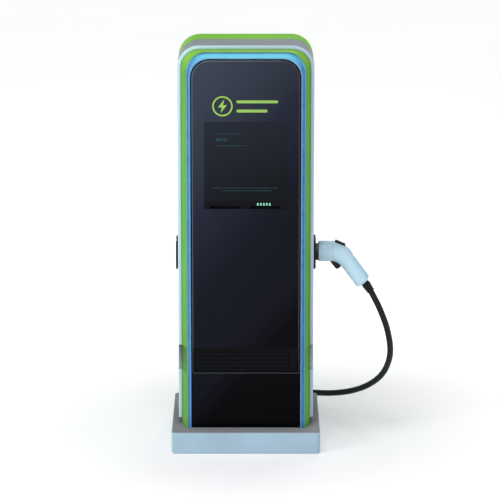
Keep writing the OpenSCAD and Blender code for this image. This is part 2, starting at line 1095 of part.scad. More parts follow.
base_plate();
plinth_skirt();
plinth_top();
floor_pan();
kick_plate();
side_frame_left();
side_frame_right();
top_brace();
equipment_plate();
front_hood();
rear_shell();
rear_door();
door_gasket();
hinge_fixed_leaves();
hinge_door_leaves();
hinge_pins();
lock_plate();
lock_handle();
chamfer_frame();
light_frame();
glass_fascia();
lower_panel();
intake_grille();
intake_filter();
screen_glass();
display_module();
reader_bar();
status_lights();
front_mark();
power_module_1();
power_module_2();
power_module_3();
controller_box();
din_rail();
isolator_body();
isolator_handle();
contactors();
supply_unit();
fan_frames();
fan_rotor_left();
fan_rotor_right();
outlet_plate_left();
outlet_plate_right();
holster_cup();
outlet_insert();
outlet_lid();
lid_pin();
plate_screws();
gun_shell_left();
gun_shell_right();
gun_nose();
gun_connector();
gun_trigger();
gun_button();
gun_gland();
cable_run();
cable_coil();
cable_tail();
cable_gland();
earth_bar();
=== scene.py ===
# %% [markdown]
# # A charging post, dressed for the street
# The post is a painted cabinet on a square plinth: a grey hood with a light blue lip, a green rear shell, a flared
# green frame, a glowing blue light frame and a black glass front. A gun hangs on its right-hand side. The packed
# model gives every size and place; this script only makes the surfaces and finishes that are seen.

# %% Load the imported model
import json
import math

import bmesh
import bpy
import numpy as np
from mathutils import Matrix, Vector


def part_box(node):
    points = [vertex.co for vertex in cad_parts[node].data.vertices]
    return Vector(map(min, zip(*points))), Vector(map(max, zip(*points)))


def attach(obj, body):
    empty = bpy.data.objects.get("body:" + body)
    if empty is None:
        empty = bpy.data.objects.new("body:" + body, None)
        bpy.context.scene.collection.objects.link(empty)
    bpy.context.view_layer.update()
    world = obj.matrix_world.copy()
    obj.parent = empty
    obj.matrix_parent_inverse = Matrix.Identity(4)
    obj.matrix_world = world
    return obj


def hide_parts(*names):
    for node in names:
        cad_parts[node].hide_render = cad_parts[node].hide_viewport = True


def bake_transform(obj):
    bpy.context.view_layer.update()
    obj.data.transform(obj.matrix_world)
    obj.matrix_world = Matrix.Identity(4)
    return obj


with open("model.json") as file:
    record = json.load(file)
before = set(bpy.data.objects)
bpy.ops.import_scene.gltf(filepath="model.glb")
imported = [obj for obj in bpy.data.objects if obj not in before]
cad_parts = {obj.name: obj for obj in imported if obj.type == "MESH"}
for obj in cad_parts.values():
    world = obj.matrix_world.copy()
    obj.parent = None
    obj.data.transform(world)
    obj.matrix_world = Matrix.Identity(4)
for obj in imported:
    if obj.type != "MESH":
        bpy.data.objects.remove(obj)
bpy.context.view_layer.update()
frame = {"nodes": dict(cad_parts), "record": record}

# %% [markdown]
# ## Camera
# The post is seen from far off with a long lens, a little above its own height, so its sides stay nearly upright.
# The camera looks straight along +Y and tilts down. It stands a hair to the right of the post's middle.

# %% Place the camera
SENSOR = 36.0
LONG_LENS = 216.0
TILT = math.radians(12.8)
EYE = (0.019, -13.568, 3.966)

camera_data = bpy.data.cameras.new("camera")
camera_data.sensor_width = SENSOR
camera_data.lens = LONG_LENS
camera_data.clip_end = 100.0
camera = bpy.data.objects.new("camera", camera_data)
bpy.context.scene.collection.objects.link(camera)
camera.location = EYE
camera.rotation_euler = (math.pi / 2 - TILT, 0.0, 0.0)
bpy.context.scene.camera = camera
bpy.context.scene.view_settings.view_transform = "Standard"
print("lens:", round(camera_data.lens, 1), "mm")

# %% [markdown]
# ## Surfaces from numbers
# Every new piece is a skin over rings of points. A ring is a closed outline, and a row of rings makes a closed
# body with a flat cap at each end. One helper turns such a table of points into a mesh, and turns the faces
# outwards by the sign of the volume that they enclose.

# %% Skin a stack of closed rings
SMOOTH_ANGLE = math.radians(32)


def add_mesh(name, points, faces):
    """Mesh object from points and faces, smooth except where neighbouring faces turn by more than SMOOTH_ANGLE."""
    mesh = bpy.data.meshes.new(name)
    mesh.from_pydata(points.tolist(), [], faces)
    mesh.polygons.foreach_set("use_smooth", np.ones(len(mesh.polygons), dtype=bool))
    mesh.set_sharp_from_angle(angle=SMOOTH_ANGLE)
    mesh.update()
    piece = bpy.data.objects.new(name, mesh)
    bpy.context.scene.collection.objects.link(piece)
    return piece


def walls_and_caps(rings, closed_rows=False):
    """Points, wall quads and end caps over rings[row, point, xyz], facing outwards. Twice the area vector of each
    face, times the way to it from the middle, adds up to a volume, and a negative volume turns every face round."""
    rows, count, _ = rings.shape
    last = rows if closed_rows else rows - 1
    row, col = np.meshgrid(np.arange(last), np.arange(count), indexing="ij")
    up, right = (row + 1) % rows, (col + 1) % count
    quads = np.stack([row * count + col, row * count + right, up * count + right, up * count + col], axis=-1)
    quads = quads.reshape(-1, 4)
    points = rings.reshape(-1, 3)
    corner = points[quads]
    centre = points.mean(axis=0)
    normals = np.cross(corner[:, 2] - corner[:, 0], corner[:, 3] - corner[:, 1])
    volume = np.einsum("ij,ij->i", corner.mean(axis=1) - centre, normals).sum()
    caps = [] if closed_rows else [np.arange(count)[::-1], np.arange((rows - 1) * count, rows * count)]
    for cap in caps:
        ring = points[cap]
        area = np.cross(ring, np.roll(ring, -1, axis=0)).sum(axis=0)
        volume += float(np.dot(ring.mean(axis=0) - centre, area))
    if volume < 0:
        quads = quads[:, ::-1]
        caps = [cap[::-1] for cap in caps]
    return points, quads, caps


def skin(name, rings, closed_rows=False):
    """Closed body over rings[row, point, xyz]. Each row is a closed outline. The first and last rows are capped,
    or joined to each other when closed_rows is set."""
    points, quads, caps = walls_and_caps(rings, closed_rows)
    return add_mesh(name, points, quads.tolist() + [cap.tolist() for cap in caps])


def softened(node, body, width, segments=2):
    """Copy of a model node with its loose triangles joined into whole faces, and a small radius on its edges."""
    form = bmesh.new()
    form.from_mesh(frame["nodes"][node].data)
    bmesh.ops.remove_doubles(form, verts=form.verts, dist=0.00001)
    bmesh.ops.dissolve_limit(form, angle_limit=math.radians(1), verts=form.verts, edges=form.edges)
    mesh = bpy.data.meshes.new(node + "_soft")
    form.to_mesh(mesh)
    form.free()
    mesh.polygons.foreach_set("use_smooth", np.ones(len(mesh.polygons), dtype=bool))
    mesh.set_sharp_from_angle(angle=SMOOTH_ANGLE)
    piece = bpy.data.objects.new(node + "_soft", mesh)
    bpy.context.scene.collection.objects.link(piece)
    bevel = piece.modifiers.new("edge radius", "BEVEL")
    bevel.width = width
    bevel.segments = segments
    bevel.limit_method = "ANGLE"
    bevel.angle_limit = SMOOTH_ANGLE
    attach(piece, body)
    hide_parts(node)
    return dress(piece, slot_of[node])


def tag(piece, name, values):
    """Point attribute that a material can read, one number for each point."""
    layer = piece.data.attributes.new(name, "FLOAT", "POINT")
    layer.data.foreach_set("value", np.asarray(values, dtype=np.float32).ravel())
    return piece


# %% [markdown]
# ## The charging cable
# A thick rubber cable of about 3.0 m leaves the gun's ribbed gland, hangs in a deep bow beside the post, passes
# behind the plinth and lies there in a flat coil before it enters a gland in the plinth. Its route is a list of
# given points, the coil is a helix worked out by a formula, and one smooth curve runs through them all.

# %% Work out the cable's route
CABLE_D = 0.028
COIL_R = 0.165
COIL_MIDDLE = np.array([-0.050, 0.560])
JOIN_ANGLE = 47.0
LEAVE_ANGLE = 540.0
route_run = np.array([
    [0.578, -0.100, 0.710], [0.598, -0.100, 0.672], [0.618, -0.099, 0.630], [0.636, -0.097, 0.585],
    [0.650, -0.092, 0.545], [0.660, -0.084, 0.505], [0.668, -0.070, 0.462], [0.672, -0.048, 0.420],
    [0.671, -0.020, 0.377], [0.663, 0.018, 0.330], [0.648, 0.062, 0.283], [0.626, 0.108, 0.241],
    [0.596, 0.156, 0.203], [0.558, 0.206, 0.168], [0.512, 0.258, 0.138], [0.462, 0.310, 0.114],
    [0.408, 0.360, 0.096], [0.352, 0.411, 0.083], [0.296, 0.463, 0.073], [0.239, 0.516, 0.065],
    [0.181, 0.570, 0.059], [0.122, 0.625, 0.055],
])
route_tail = np.array([
    [-0.215, 0.510, 0.017], [-0.215, 0.464, 0.026], [-0.215, 0.420, 0.036], [-0.215, 0.395, 0.040],
    [-0.215, 0.373, 0.040],
])


def coil_points(step=15.0):
    """Helix: the angle runs evenly, and the height falls by one cable diameter for each full turn."""
    angle = np.arange(JOIN_ANGLE, LEAVE_ANGLE + 0.1, step)
    turn = np.radians(angle)
    height = CABLE_D / 2 + CABLE_D * (LEAVE_ANGLE - angle) / 360 + 0.001
    return np.stack([COIL_MIDDLE[0] + COIL_R * np.cos(turn), COIL_MIDDLE[1] + COIL_R * np.sin(turn), height], 1)


def smooth_line(knots, per_span=8):
    """Catmull-Rom curve through the knots: each span is the cubic whose end slopes are half the chord between
    the neighbours on either side."""
    padded = np.vstack([2 * knots[0] - knots[1], knots, 2 * knots[-1] - knots[-2]])
    a, b, c, d = (padded[i:len(padded) - 3 + i, None] for i in range(4))
    t = np.linspace(0, 1, per_span, endpoint=False)[None, :, None]
    cubic = 0.5 * (2 * b + (c - a) * t + (2 * a - 5 * b + 4 * c - d) * t**2 + (3 * b - a - 3 * c + d) * t**3)
    return np.vstack([cubic.reshape(-1, 3), knots[-1:]])


cable_line = smooth_line(np.vstack([route_run, coil_points(), route_tail]))


# %% [markdown]
# A cable is a circle carried along its route. A curve with a bevel would do it too, but in a mesh tube the section
# stays untwisted all the way.

# %% Sweep the cable's round section along its route
def sweep_round(name, line, radius, count=24):
    """Tube: at each point of the line a circle stands square to it. The circle's frame is carried along by
    taking away, at each step, the part of the last side vector that lies along the new direction."""
    step = np.gradient(line, axis=0)
    heading = step / np.linalg.norm(step, axis=1, keepdims=True)
    side = np.empty_like(heading)
    side[0] = np.cross(heading[0], (0.0, 1.0, 0.0))
    for i in range(1, len(line)):
        side[i] = side[i - 1] - heading[i] * np.dot(side[i - 1], heading[i])
        side[i] /= np.linalg.norm(side[i])
    side[0] /= np.linalg.norm(side[0])
    other = np.cross(heading, side)
    angle = np.linspace(0, 2 * math.pi, count, endpoint=False)
    radius = np.broadcast_to(np.asarray(radius, dtype=float), len(line))
    circle = np.cos(angle)[None, :, None] * side[:, None] + np.sin(angle)[None, :, None] * other[:, None]
    return skin(name, line[:, None] + radius[:, None, None] * circle)


cable = sweep_round("charging_cable", cable_line, CABLE_D / 2)
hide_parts("cable_run", "cable_coil", "cable_tail")
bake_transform(cable)

# %% [markdown]
# ## Light and floor
# The post stands on a plain white floor that reaches past the view on every side. A wide soft lamp at the front
# left is the main light, a weaker one fills from the right, and a pale sky lifts the shadows. The floor gives
# a little light of its own, as a lit studio sweep does.


# %% Floor, sky and lamps
def aim(thing, target):
    """Turns a lamp so that it looks at target."""
    thing.rotation_euler = (Vector(target) - thing.location).to_track_quat("-Z", "Y").to_euler()


def add_lamp(name, place, target, size, power):
    """Square soft lamp at a place, turned to a target."""
    data = bpy.data.lights.new(name, "AREA")
    data.shape = "SQUARE"
    data.size = size
    data.energy = power
    lamp = bpy.data.objects.new(name, data)
    bpy.context.scene.collection.objects.link(lamp)
    lamp.location = place
    aim(lamp, target)
    return lamp


POST_MIDDLE = (0.0, 0.0, 0.95)
add_lamp("key", (-5.2, -4.6, 2.6), POST_MIDDLE, 2.4, 200)
add_lamp("fill", (4.5, -6.0, 2.2), POST_MIDDLE, 3.0, 25)
add_lamp("top", (-0.6, -2.6, 6.5), POST_MIDDLE, 2.6, 145)
add_lamp("back", (1.5, 5.0, 5.5), POST_MIDDLE, 2.6, 70)

world = bpy.data.worlds.new("sky")
bpy.context.scene.world = world
world.use_nodes = True

FLOOR_HALF = 30.0
floor_rings = np.array([[[-FLOOR_HALF, -FLOOR_HALF, z], [FLOOR_HALF, -FLOOR_HALF, z],
                         [FLOOR_HALF, FLOOR_HALF, z], [-FLOOR_HALF, FLOOR_HALF, z]] for z in (-0.02, -0.0005)])
floor = skin("studio_floor", floor_rings)


# %% [markdown]
# ## Writing materials as sums
# A finish is worked out by nodes, and nodes read badly as a list. This small class wraps a socket, so that
# `grain * 0.2 + 0.8` adds the Math nodes for it, and `make` adds any other node. A finish is then a few lines.


# %% The socket wrapper
class Shade:
    """A node socket that can be used in sums. Shade(tree) alone is the start for make()."""

    def __init__(self, tree, socket=None):
        self.tree = tree
        self.socket = socket

    def make(self, kind, settings=None, sockets=None, out=0):
        """Adds a node of that kind. Settings are set first, then each socket gets its value or its link."""
        node = self.tree.nodes.new(kind)
        for key, value in (settings or {}).items():
            if key == "stops":
                ramp = node.color_ramp
                while len(ramp.elements) < len(value):
                    ramp.elements.new(0.5)
                for element, (place, colour) in zip(ramp.elements, value):
                    element.position = place
                    element.color = (*colour, 1)
            else:
                setattr(node, key, value)
        for key, value in (sockets or {}).items():
            self.feed(node.inputs[key], value)
        return Shade(self.tree, node.outputs[out])

    def feed(self, target, value):
        """Links a Shade to a socket, or sets the socket to a number or a colour."""
        if isinstance(value, Shade):
            self.tree.links.new(value.socket, target)
        elif hasattr(value, "__len__") and len(value) == 3 and target.type == "RGBA":
            target.default_value = (*value, 1)
        else:
            target.default_value = value

    def math(self, operation, *values, clamp=False):
        """One Math node on these values, or on the wrapped socket when there are none."""
        return self.make("ShaderNodeMath", {"operation": operation, "use_clamp": clamp},
                         dict(enumerate(values or (self,))))

    def __add__(self, other):
        return self.math("ADD", self, other)

    def __radd__(self, other):
        return self.math("ADD", other, self)

    def __sub__(self, other):
        return self.math("SUBTRACT", self, other)

    def __rsub__(self, other):
        return self.math("SUBTRACT", other, self)

    def __mul__(self, other):
        return self.math("MULTIPLY", self, other)

    def __rmul__(self, other):
        return self.math("MULTIPLY", other, self)

    def clip(self):
        """The value held between 0 and 1."""
        return self.math("ADD", self, 0.0, clamp=True)

    def step(self, low, high):
        """Smooth step: 0 below low, 1 above high."""
        return self.make("ShaderNodeMapRange", {"interpolation_type": "SMOOTHSTEP"},
                         {"Value": self, "From Min": low, "From Max": high})

    def mix(self, first, second):
        """Colour between first and second, with self as the share of the second."""
        return self.make("ShaderNodeMix", {"data_type": "RGBA"}, {0: self, 6: first, 7: second}, out=2)

    def place(self):
        """Object coordinates, in metres."""
        return self.make("ShaderNodeTexCoord", out=3)

    def axis(self, letter):
        """One coordinate of the place."""
        return self.make("ShaderNodeSeparateXYZ", sockets={0: self.place()}, out="XYZ".index(letter))

    def facing(self, letter):
        """One part of the surface's own direction, -1 to 1."""
        normal = self.make("ShaderNodeNewGeometry", out=1)
        return self.make("ShaderNodeSeparateXYZ", sockets={0: normal}, out="XYZ".index(letter))

    def noise(self, scale, detail=4.0, stretch=None):
        """Cloudy noise, 0 to 1, with about scale lumps to the metre. Stretch squeezes it along an axis."""
        where = self.place()
        if stretch:
            where = self.make("ShaderNodeVectorMath", {"operation": "MULTIPLY"}, {0: where, 1: stretch})
        return self.make("ShaderNodeTexNoise", {}, {"Vector": where, "Scale": scale, "Detail": detail,
                                                    "Roughness": 0.55})

    def cells(self, scale):
        """Distance to the nearest cell point of a Voronoi pattern."""
        return self.make("ShaderNodeTexVoronoi", {}, {"Vector": self.place(), "Scale": scale})

    def bump(self, strength, distance):
        """Bump from self as a height, which is distance metres where self is 1."""
        return self.make("ShaderNodeBump", {}, {"Height": self, "Strength": strength, "Distance": distance})


def finish_of(name, build):
    """Material whose main shader gets the sockets that build(shade) returns as a dict."""
    material = bpy.data.materials.new(name)
    material.use_nodes = True
    tree = material.node_tree
    shader = tree.nodes["Principled BSDF"]
    shade = Shade(tree)
    for key, value in build(shade).items():
        shade.feed(shader.inputs[key], value)
    return material


# %% [markdown]
# ## Painted sheet metal
# Powder coat is a satin skin with a fine orange peel. It dulls and greys a little where dust settles on faces that
# look up, and handling leaves faint smears in its gloss. The bump carries the peel; the roughness carries the smears.


# %% Powder coat
BAND_LOW = float(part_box("intake_grille")[0][2])
BAND_HIGH = float(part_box("intake_grille")[1][2])


def intake_shade(s, on_left, on_right):
    """Share of painted shade in the air intake's band, deepest under its upper edge and unlike on the two sides."""
    height = s.axis("Z")
    inside = height.step(BAND_LOW - 0.002, BAND_LOW + 0.002) * (1 - height.step(BAND_HIGH - 0.002, BAND_HIGH + 0.002))
    under_edge = height.step(BAND_LOW - 0.02, BAND_HIGH) * 0.25 + height.step(BAND_HIGH - 0.012, BAND_HIGH) * 0.2
    side = s.axis("X").step(-0.05, 0.05) * (on_right - on_left) + on_left
    return (inside * (side + under_edge)).clip()


def powder_coat(name, colour, gloss=0.38, peel=0.25, dust=0.10, shine=0.30, lit_top_colour=None):
    """Paint in one colour. When a top colour is given, the paint turns to that lighter colour near the top of the
    post, a painted highlight where the flare's top bar tilts up to the light. In the air intake's band it is darkened
    by painted shade."""
    def build(s):
        cloud = s.noise(2.3, 3.0)
        smear = s.noise(9.0, 5.0, (1.0, 1.0, 0.35))
        peel_height = s.noise(520.0, 2.0)
        speck = s.cells(260.0).step(0.06, 0.02)
        tone = tuple(c * 0.93 for c in colour)
        bright = tuple(min(c * 1.05, 1.0) for c in colour)
        base = cloud.step(0.35, 0.65).mix(tone, bright)
        settled = s.facing("Z").step(0.55, 0.98) * s.noise(28.0, 6.0).step(0.40, 0.75) * dust
        dusty = settled.mix(base, (0.47, 0.46, 0.43))
        specks_and_painted_light = (speck * 0.10).mix(dusty, tuple(c * 0.7 for c in colour))
        if lit_top_colour:
            # Near the top of the post the paint turns lighter: painted highlight.
            with_painted_top_light = s.axis("Z").step(1.76, 1.83).mix(specks_and_painted_light, lit_top_colour)
            # In the air intake's band the paint is darker, most on the left and under the band's upper edge: painted
            # shade.
            specks_and_painted_light = intake_shade(s, 0.28, 0.0).mix(with_painted_top_light, tuple(c * 0.12 for c in colour))
        return {
            "Base Color": specks_and_painted_light,
            "Roughness": (smear.step(0.3, 0.75) * 0.10 + settled * 0.5 + gloss).clip(),
            "Normal": peel_height.bump(peel, 0.00025),
            "Specular IOR Level": shine,
        }
    return finish_of(name, build)


# %% [markdown]
# The hood is one pressing in two paints: its front lip is light blue and the rest is mid grey. A number stored on
# each point of the mesh says which part is the lip, so the line between the paints follows the bend exactly.


# %% Two-tone hood
LIP_LEFT = (0.440, 0.645, 0.690)
LIP_RIGHT = (0.450, 0.535, 0.710)
SKIN_GREY = (0.232, 0.264, 0.272)


def hood_coat(s):
    lip = s.make("ShaderNodeAttribute", {"attribute_name": "lip"}, out=2)
    cloud = s.noise(2.3, 3.0).step(0.35, 0.65)
    grey = cloud.mix(tuple(c * 0.94 for c in SKIN_GREY), tuple(c * 1.05 for c in SKIN_GREY))
    # The lip's colour shifts from left to right, darker and bluer on the right: painted shade on the right side.
    blue = s.axis("X").step(-0.30, 0.30).mix(LIP_LEFT, LIP_RIGHT)
    # In the air intake's band the lip is painted almost black: painted shade in the recess, stronger on the left.
    lip_with_painted_shade = (intake_shade(s, 0.50, 0.18)).mix(blue, (0.030, 0.040, 0.055))
    both = lip.step(0.45, 0.55).mix(grey, lip_with_painted_shade)
    settled = s.facing("Z").step(0.55, 0.98) * s.noise(28.0, 6.0).step(0.40, 0.75) * 0.12
    return {
        "Base Color": settled.mix(both, (0.47, 0.46, 0.43)),
        "Roughness": (s.noise(9.0, 5.0, (1.0, 1.0, 0.35)).step(0.3, 0.75) * 0.10 + settled * 0.5 + 0.36).clip(),
        "Normal": s.noise(520.0, 2.0).bump(0.25, 0.00025),
        "Specular IOR Level": 0.08,
    }


# %% [markdown]
# ## The light frame
# The blue frame is a clear moulding with a strip of lamps behind it. Its sides are blue and its top is painted a
# lighter cyan, as painted light from above. A brighter line along its outer edge is a painted highlight, and most of
# the right side's face is painted darker as painted shade. Two numbers on each point carry this: `up` is 0 on the
# sides and 1 on the top, and `across` runs from the outer edge to the inner one.


# %% Glowing moulding
def light_guide(s):
    up = s.make("ShaderNodeAttribute", {"attribute_name": "up"}, out=2)
    across = s.make("ShaderNodeAttribute", {"attribute_name": "across"}, out=2)
    # The first stops of the side ramp make a brighter line along the outer edge: a painted highlight.
    side = s.make("ShaderNodeValToRGB", {"stops": [
        (0.00, (0.120, 0.400, 0.470)), (0.16, (0.120, 0.400, 0.470)), (0.24, (0.018, 0.090, 0.255)),
        (0.55, (0.034, 0.130, 0.340)), (0.80, (0.105, 0.275, 0.490)), (1.00, (0.170, 0.400, 0.640)),
    ]}, {0: across})
    # The top is painted a lighter cyan than the sides: painted light from above.
    top = s.make("ShaderNodeValToRGB", {"stops": [
        (0.00, (0.012, 0.075, 0.190)), (0.12, (0.025, 0.120, 0.260)), (0.30, (0.085, 0.370, 0.500)),
        (0.60, (0.110, 0.440, 0.560)), (0.85, (0.110, 0.350, 0.510)), (1.00, (0.120, 0.330, 0.560)),
    ]}, {0: across})
    # Most of the right side's face is painted darker: painted shade.
    far = s.axis("X").step(-0.05, 0.05) * (1 - across.step(0.75, 1.0)) * across.step(0.18, 0.26)
    side_with_painted_shade = (far * 0.75).mix(side, (0.004, 0.085, 0.260))
    colour = up.step(0.10, 0.95).mix(side_with_painted_shade, top)
    grain = s.noise(40.0, 3.0)
    shimmer = (grain.step(0.3, 0.7) * 0.12).mix(colour, (0.20, 0.50, 0.66))
    return {
        "Base Color": shimmer,
        "Roughness": s.noise(14.0, 4.0).step(0.3, 0.8) * 0.10 + 0.22,
        "Emission Color": shimmer,
        "Emission Strength": 0.12,
        "Specular IOR Level": 0.25,
        "Coat Weight": 0.10,
        "Coat Roughness": 0.12,
        "Normal": s.noise(90.0, 2.0).bump(0.08, 0.0004),
    }


# %% [markdown]
# ## Black glass
# The front is toughened glass, painted on its back. Its colour is painted lighter at the upper left, a blue
# charcoal, and falls to near black at the lower right: a painted reflection. Finger smears show only in the gloss,
# and a few dust specks sit on the surface.


# %% Back-painted glass
def black_glass(s):
    across = s.axis("X")
    height = s.axis("Z")
    # fade grows towards the upper left, where the glass is painted lighter: painted reflection.
    fade = (height * 0.46 - across * 0.55).clip()
    ground = s.make("ShaderNodeValToRGB", {"stops": [
        (0.00, (0.0005, 0.0008, 0.0010)), (0.16, (0.0010, 0.0012, 0.0018)), (0.24, (0.0048, 0.0050, 0.0100)),
        (0.44, (0.0055, 0.0068, 0.0125)), (0.63, (0.0140, 0.0165, 0.0300)), (0.70, (0.0200, 0.0250, 0.0370)),
        (0.93, (0.0340, 0.0420, 0.0640)),
    ]}, {0: fade})
    smear = s.noise(6.0, 6.0, (1.0, 1.0, 0.5)).step(0.45, 0.80)
    speck = s.cells(90.0).step(0.045, 0.02) * s.noise(12.0).step(0.45, 0.6)
    return {
        "Base Color": (speck * 0.10).mix(ground, (0.20, 0.20, 0.21)),
        "Roughness": smear * 0.12 + speck * 0.2 + 0.14,
        "Specular IOR Level": 0.04,
        "Normal": s.noise(3.0, 1.0).bump(0.02, 0.002),
    }


def screen_glass(s):
    height = s.axis("Z")
    # The screen is painted lighter towards the upper left: painted reflection.
    painted_reflection = (height * 2.4 - s.axis("X") * 0.9 - 2.85).clip()
    base = painted_reflection.mix((0.0060, 0.0070, 0.0095), (0.0155, 0.0185, 0.0280))
    touch = s.noise(11.0, 6.0).step(0.5, 0.8)
    return {
        "Base Color": base,
        "Roughness": touch * 0.16 + 0.20,
        "Specular IOR Level": 0.04,
        "Normal": s.noise(700.0, 1.0).bump(0.03, 0.0001),
    }


# %% [markdown]
# ## Plastics, rubber and metal
# Moulded plastic has a fine spark-eroded grain and a sheen that varies where hands rub it. Rubber is duller, with a
# bloom of fine dust. Zinc-plated sheet has soft spangles and rolling lines.


# %% Moulded plastic, rubber, steel, aluminium, copper, foam
def moulded(name, colour, gloss=0.45, grain=0.3, rub=0.12, shine=0.35):
    def build(s):
        cloud = s.noise(6.0, 3.0).step(0.3, 0.7)
        base = cloud.mix(tuple(c * 0.94 for c in colour), tuple(min(c * 1.04, 1) for c in colour))
        wear = s.noise(16.0, 6.0).step(0.5, 0.8)
        return {
            "Base Color": (wear * 0.04).mix(base, tuple(c * 0.6 + 0.04 for c in colour)),
            "Roughness": (gloss - wear * rub + cloud * 0.05).clip(),
            "Normal": s.cells(850.0).bump(grain, 0.00012),
            "Specular IOR Level": shine,
        }
    return finish_of(name, build)


def rubber(name, colour):
    def build(s):
        bloom = s.noise(20.0, 6.0).step(0.45, 0.8)
        return {
            "Base Color": (bloom * 0.05).mix(colour, (0.06, 0.06, 0.06)),
            "Roughness": bloom * 0.15 + 0.52,
            "Normal": s.noise(600.0, 2.0).bump(0.25, 0.0002),
            "Specular IOR Level": 0.22,
        }
    return finish_of(name, build)


def sheet_steel(name, colour, stretch=(1.0, 1.0, 40.0), gloss=0.32):
    def build(s):
        rolled = s.noise(14.0, 4.0, stretch)
        spangle = s.cells(60.0).step(0.0, 0.7)
        shade_of = (rolled * 0.6 + spangle * 0.4).clip()
        return {
            "Base Color": shade_of.mix(tuple(c * 0.75 for c in colour), colour),
            "Metallic": 1.0,
            "Roughness": (rolled * 0.18 + gloss).clip(),
            "Normal": rolled.bump(0.08, 0.0003),
        }
    return finish_of(name, build)


def filter_foam(s):
    pore = s.cells(420.0)
    return {
        "Base Color": pore.step(0.1, 0.5).mix((0.0030, 0.0030, 0.0034), (0.0075, 0.0078, 0.0085)),
        "Roughness": pore * 0.1 + 0.88,
        "Normal": pore.bump(0.9, 0.001),
        "Specular IOR Level": 0.05,
    }


def glowing_lens(s):
    pulse = s.noise(25.0, 2.0).step(0.3, 0.7)
    colour = pulse.mix((0.17, 0.56, 0.39), (0.21, 0.62, 0.44))
    return {
        "Base Color": colour,
        "Roughness": pulse * 0.1 + 0.25,
        "Emission Color": colour,
        "Emission Strength": 0.10,
    }


def screen_print(s):
    ink = s.noise(300.0, 3.0).step(0.25, 0.7)
    fade = (s.axis("X") * 1.8 + 0.35).clip()
    rich = fade.mix((0.300, 0.520, 0.060), (0.215, 0.360, 0.135))
    return {
        "Base Color": ink.mix((0.205, 0.375, 0.085), rich),
        "Roughness": ink * 0.1 + 0.45,
        "Specular IOR Level": 0.2,
    }


PLINTH_BLUE = (0.340, 0.485, 0.585)
PLINTH_GREY = (0.245, 0.255, 0.275)
LEAF_GREEN = (0.190, 0.560, 0.028)
FLARE_GREEN = (0.112, 0.350, 0.033)
# The next green is the flare's paint made lighter for the top of the post: a painted highlight.
FLARE_PAINTED_TOP_LIGHT = (0.205, 0.470, 0.055)
FINISHES = {
    "hood_paint": finish_of("hood_paint", hood_coat),
    "green_paint": powder_coat("green_paint", LEAF_GREEN, 0.5, 0.25, 0.04, 0.06),
    "ring_blue": finish_of("ring_blue", light_guide),
    "black_glass": finish_of("black_glass", black_glass),
    "screen_glass": finish_of("screen_glass", screen_glass),
    "dark_trim": moulded("dark_trim", (0.0042, 0.0048, 0.0062), 0.5, 0.4, 0.1, 0.05),
    "outlet_plate": powder_coat("outlet_plate", (0.015, 0.018, 0.021), 0.5, 0.6, 0.05, 0.15),
    "seal_rubber": rubber("seal_rubber", (0.011, 0.012, 0.013)),
    "cable_jacket": rubber("cable_jacket", (0.0055, 0.0075, 0.0090)),
    "gun_plastic": moulded("gun_plastic", (0.450, 0.640, 0.760), 0.36, 0.18),
    "gun_black": moulded("gun_black", (0.0075, 0.0090, 0.0105), 0.42, 0.35, 0.1, 0.2),
    "zinc_steel": sheet_steel("zinc_steel", (0.62, 0.63, 0.65)),
    "plinth_paint": powder_coat("plinth_paint", PLINTH_BLUE, 0.42),
    "plinth_top_paint": powder_coat("plinth_top_paint", PLINTH_GREY, 0.5, 0.3, 0.15, 0.15),
    "led_lens": finish_of("led_lens", glowing_lens),
    "mark_film": finish_of("mark_film", screen_print),
    "module_case": sheet_steel("module_case", (0.72, 0.73, 0.75), (40.0, 1.0, 1.0), 0.38),
    "electronics": moulded("electronics", (0.055, 0.060, 0.066), 0.5, 0.3),
    "switch_red": moulded("switch_red", (0.480, 0.020, 0.015), 0.35, 0.15),
    "earth_copper": sheet_steel("earth_copper", (0.78, 0.42, 0.24), (1.0, 1.0, 60.0), 0.28),
    "foam": finish_of("foam", filter_foam),
}


def dress(piece, slot_name):
    """Gives a piece the finish of a material slot."""
    piece.data.materials.clear()
    piece.data.materials.append(FINISHES[slot_name])
    return piece


slot_of = {part["node"]: part["material_slot"] for part in frame["record"]["subparts"]}
for node_name, node_object in frame["nodes"].items():
    dress(node_object, slot_of[node_name])
dress(cable, "cable_jacket")
print("finishes:", len(FINISHES), "for", len(slot_of), "nodes")

# %% [markdown]
# ## The floor's finish
# A studio floor is matt and white. Close to the post its colour and its emission are painted darker, a painted shade
# round the post's foot that also lets the plinth's soft shadow show, and they brighten outwards until floor and
# background can't be told apart.

# %% White floor
def floor_finish(s):
    cloud = s.noise(0.7, 3.0)
    reach = (s.axis("X") * s.axis("X") + s.axis("Y") * s.axis("Y")).math("SQRT")
    # away is 0 at the post and 1 further out; near the post the floor is painted darker: painted shade.
    away = reach.step(0.3, 2.6)
    return {
        "Base Color": away.mix((0.78, 0.78, 0.79), (0.88, 0.88, 0.88)),
        "Roughness": 0.95,
        "Specular IOR Level": 0.1,
        "Emission Color": (away * 0.92 + cloud * 0.08).mix((0.36, 0.36, 0.37), (1.0, 1.0, 1.0)),
        "Emission Strength": 0.62,
    }


floor.data.materials.append(finish_of("studio_floor", floor_finish))

# %% [markdown]
# The sky is dim overhead and white in a low band round the horizon. The band hides the floor's far edge in a view
# from low down, and is too thin to light the post by itself. It depends on the height of a direction alone.

# %% Pale horizon
SKY_BAND = (math.sin(math.radians(5)), math.sin(math.radians(10)))
sky = Shade(world.node_tree)
sky_height = sky.make("ShaderNodeSeparateXYZ", sockets={0: sky.make("ShaderNodeTexCoord", out=0)}, out=2)
sky.feed(world.node_tree.nodes["Background"].inputs["Color"],
         sky_height.step(*SKY_BAND).mix((1.0, 1.0, 1.0), (0.388, 0.394, 0.400)))
print("sky band up to", round(math.degrees(math.asin(SKY_BAND[1]))), "degrees")


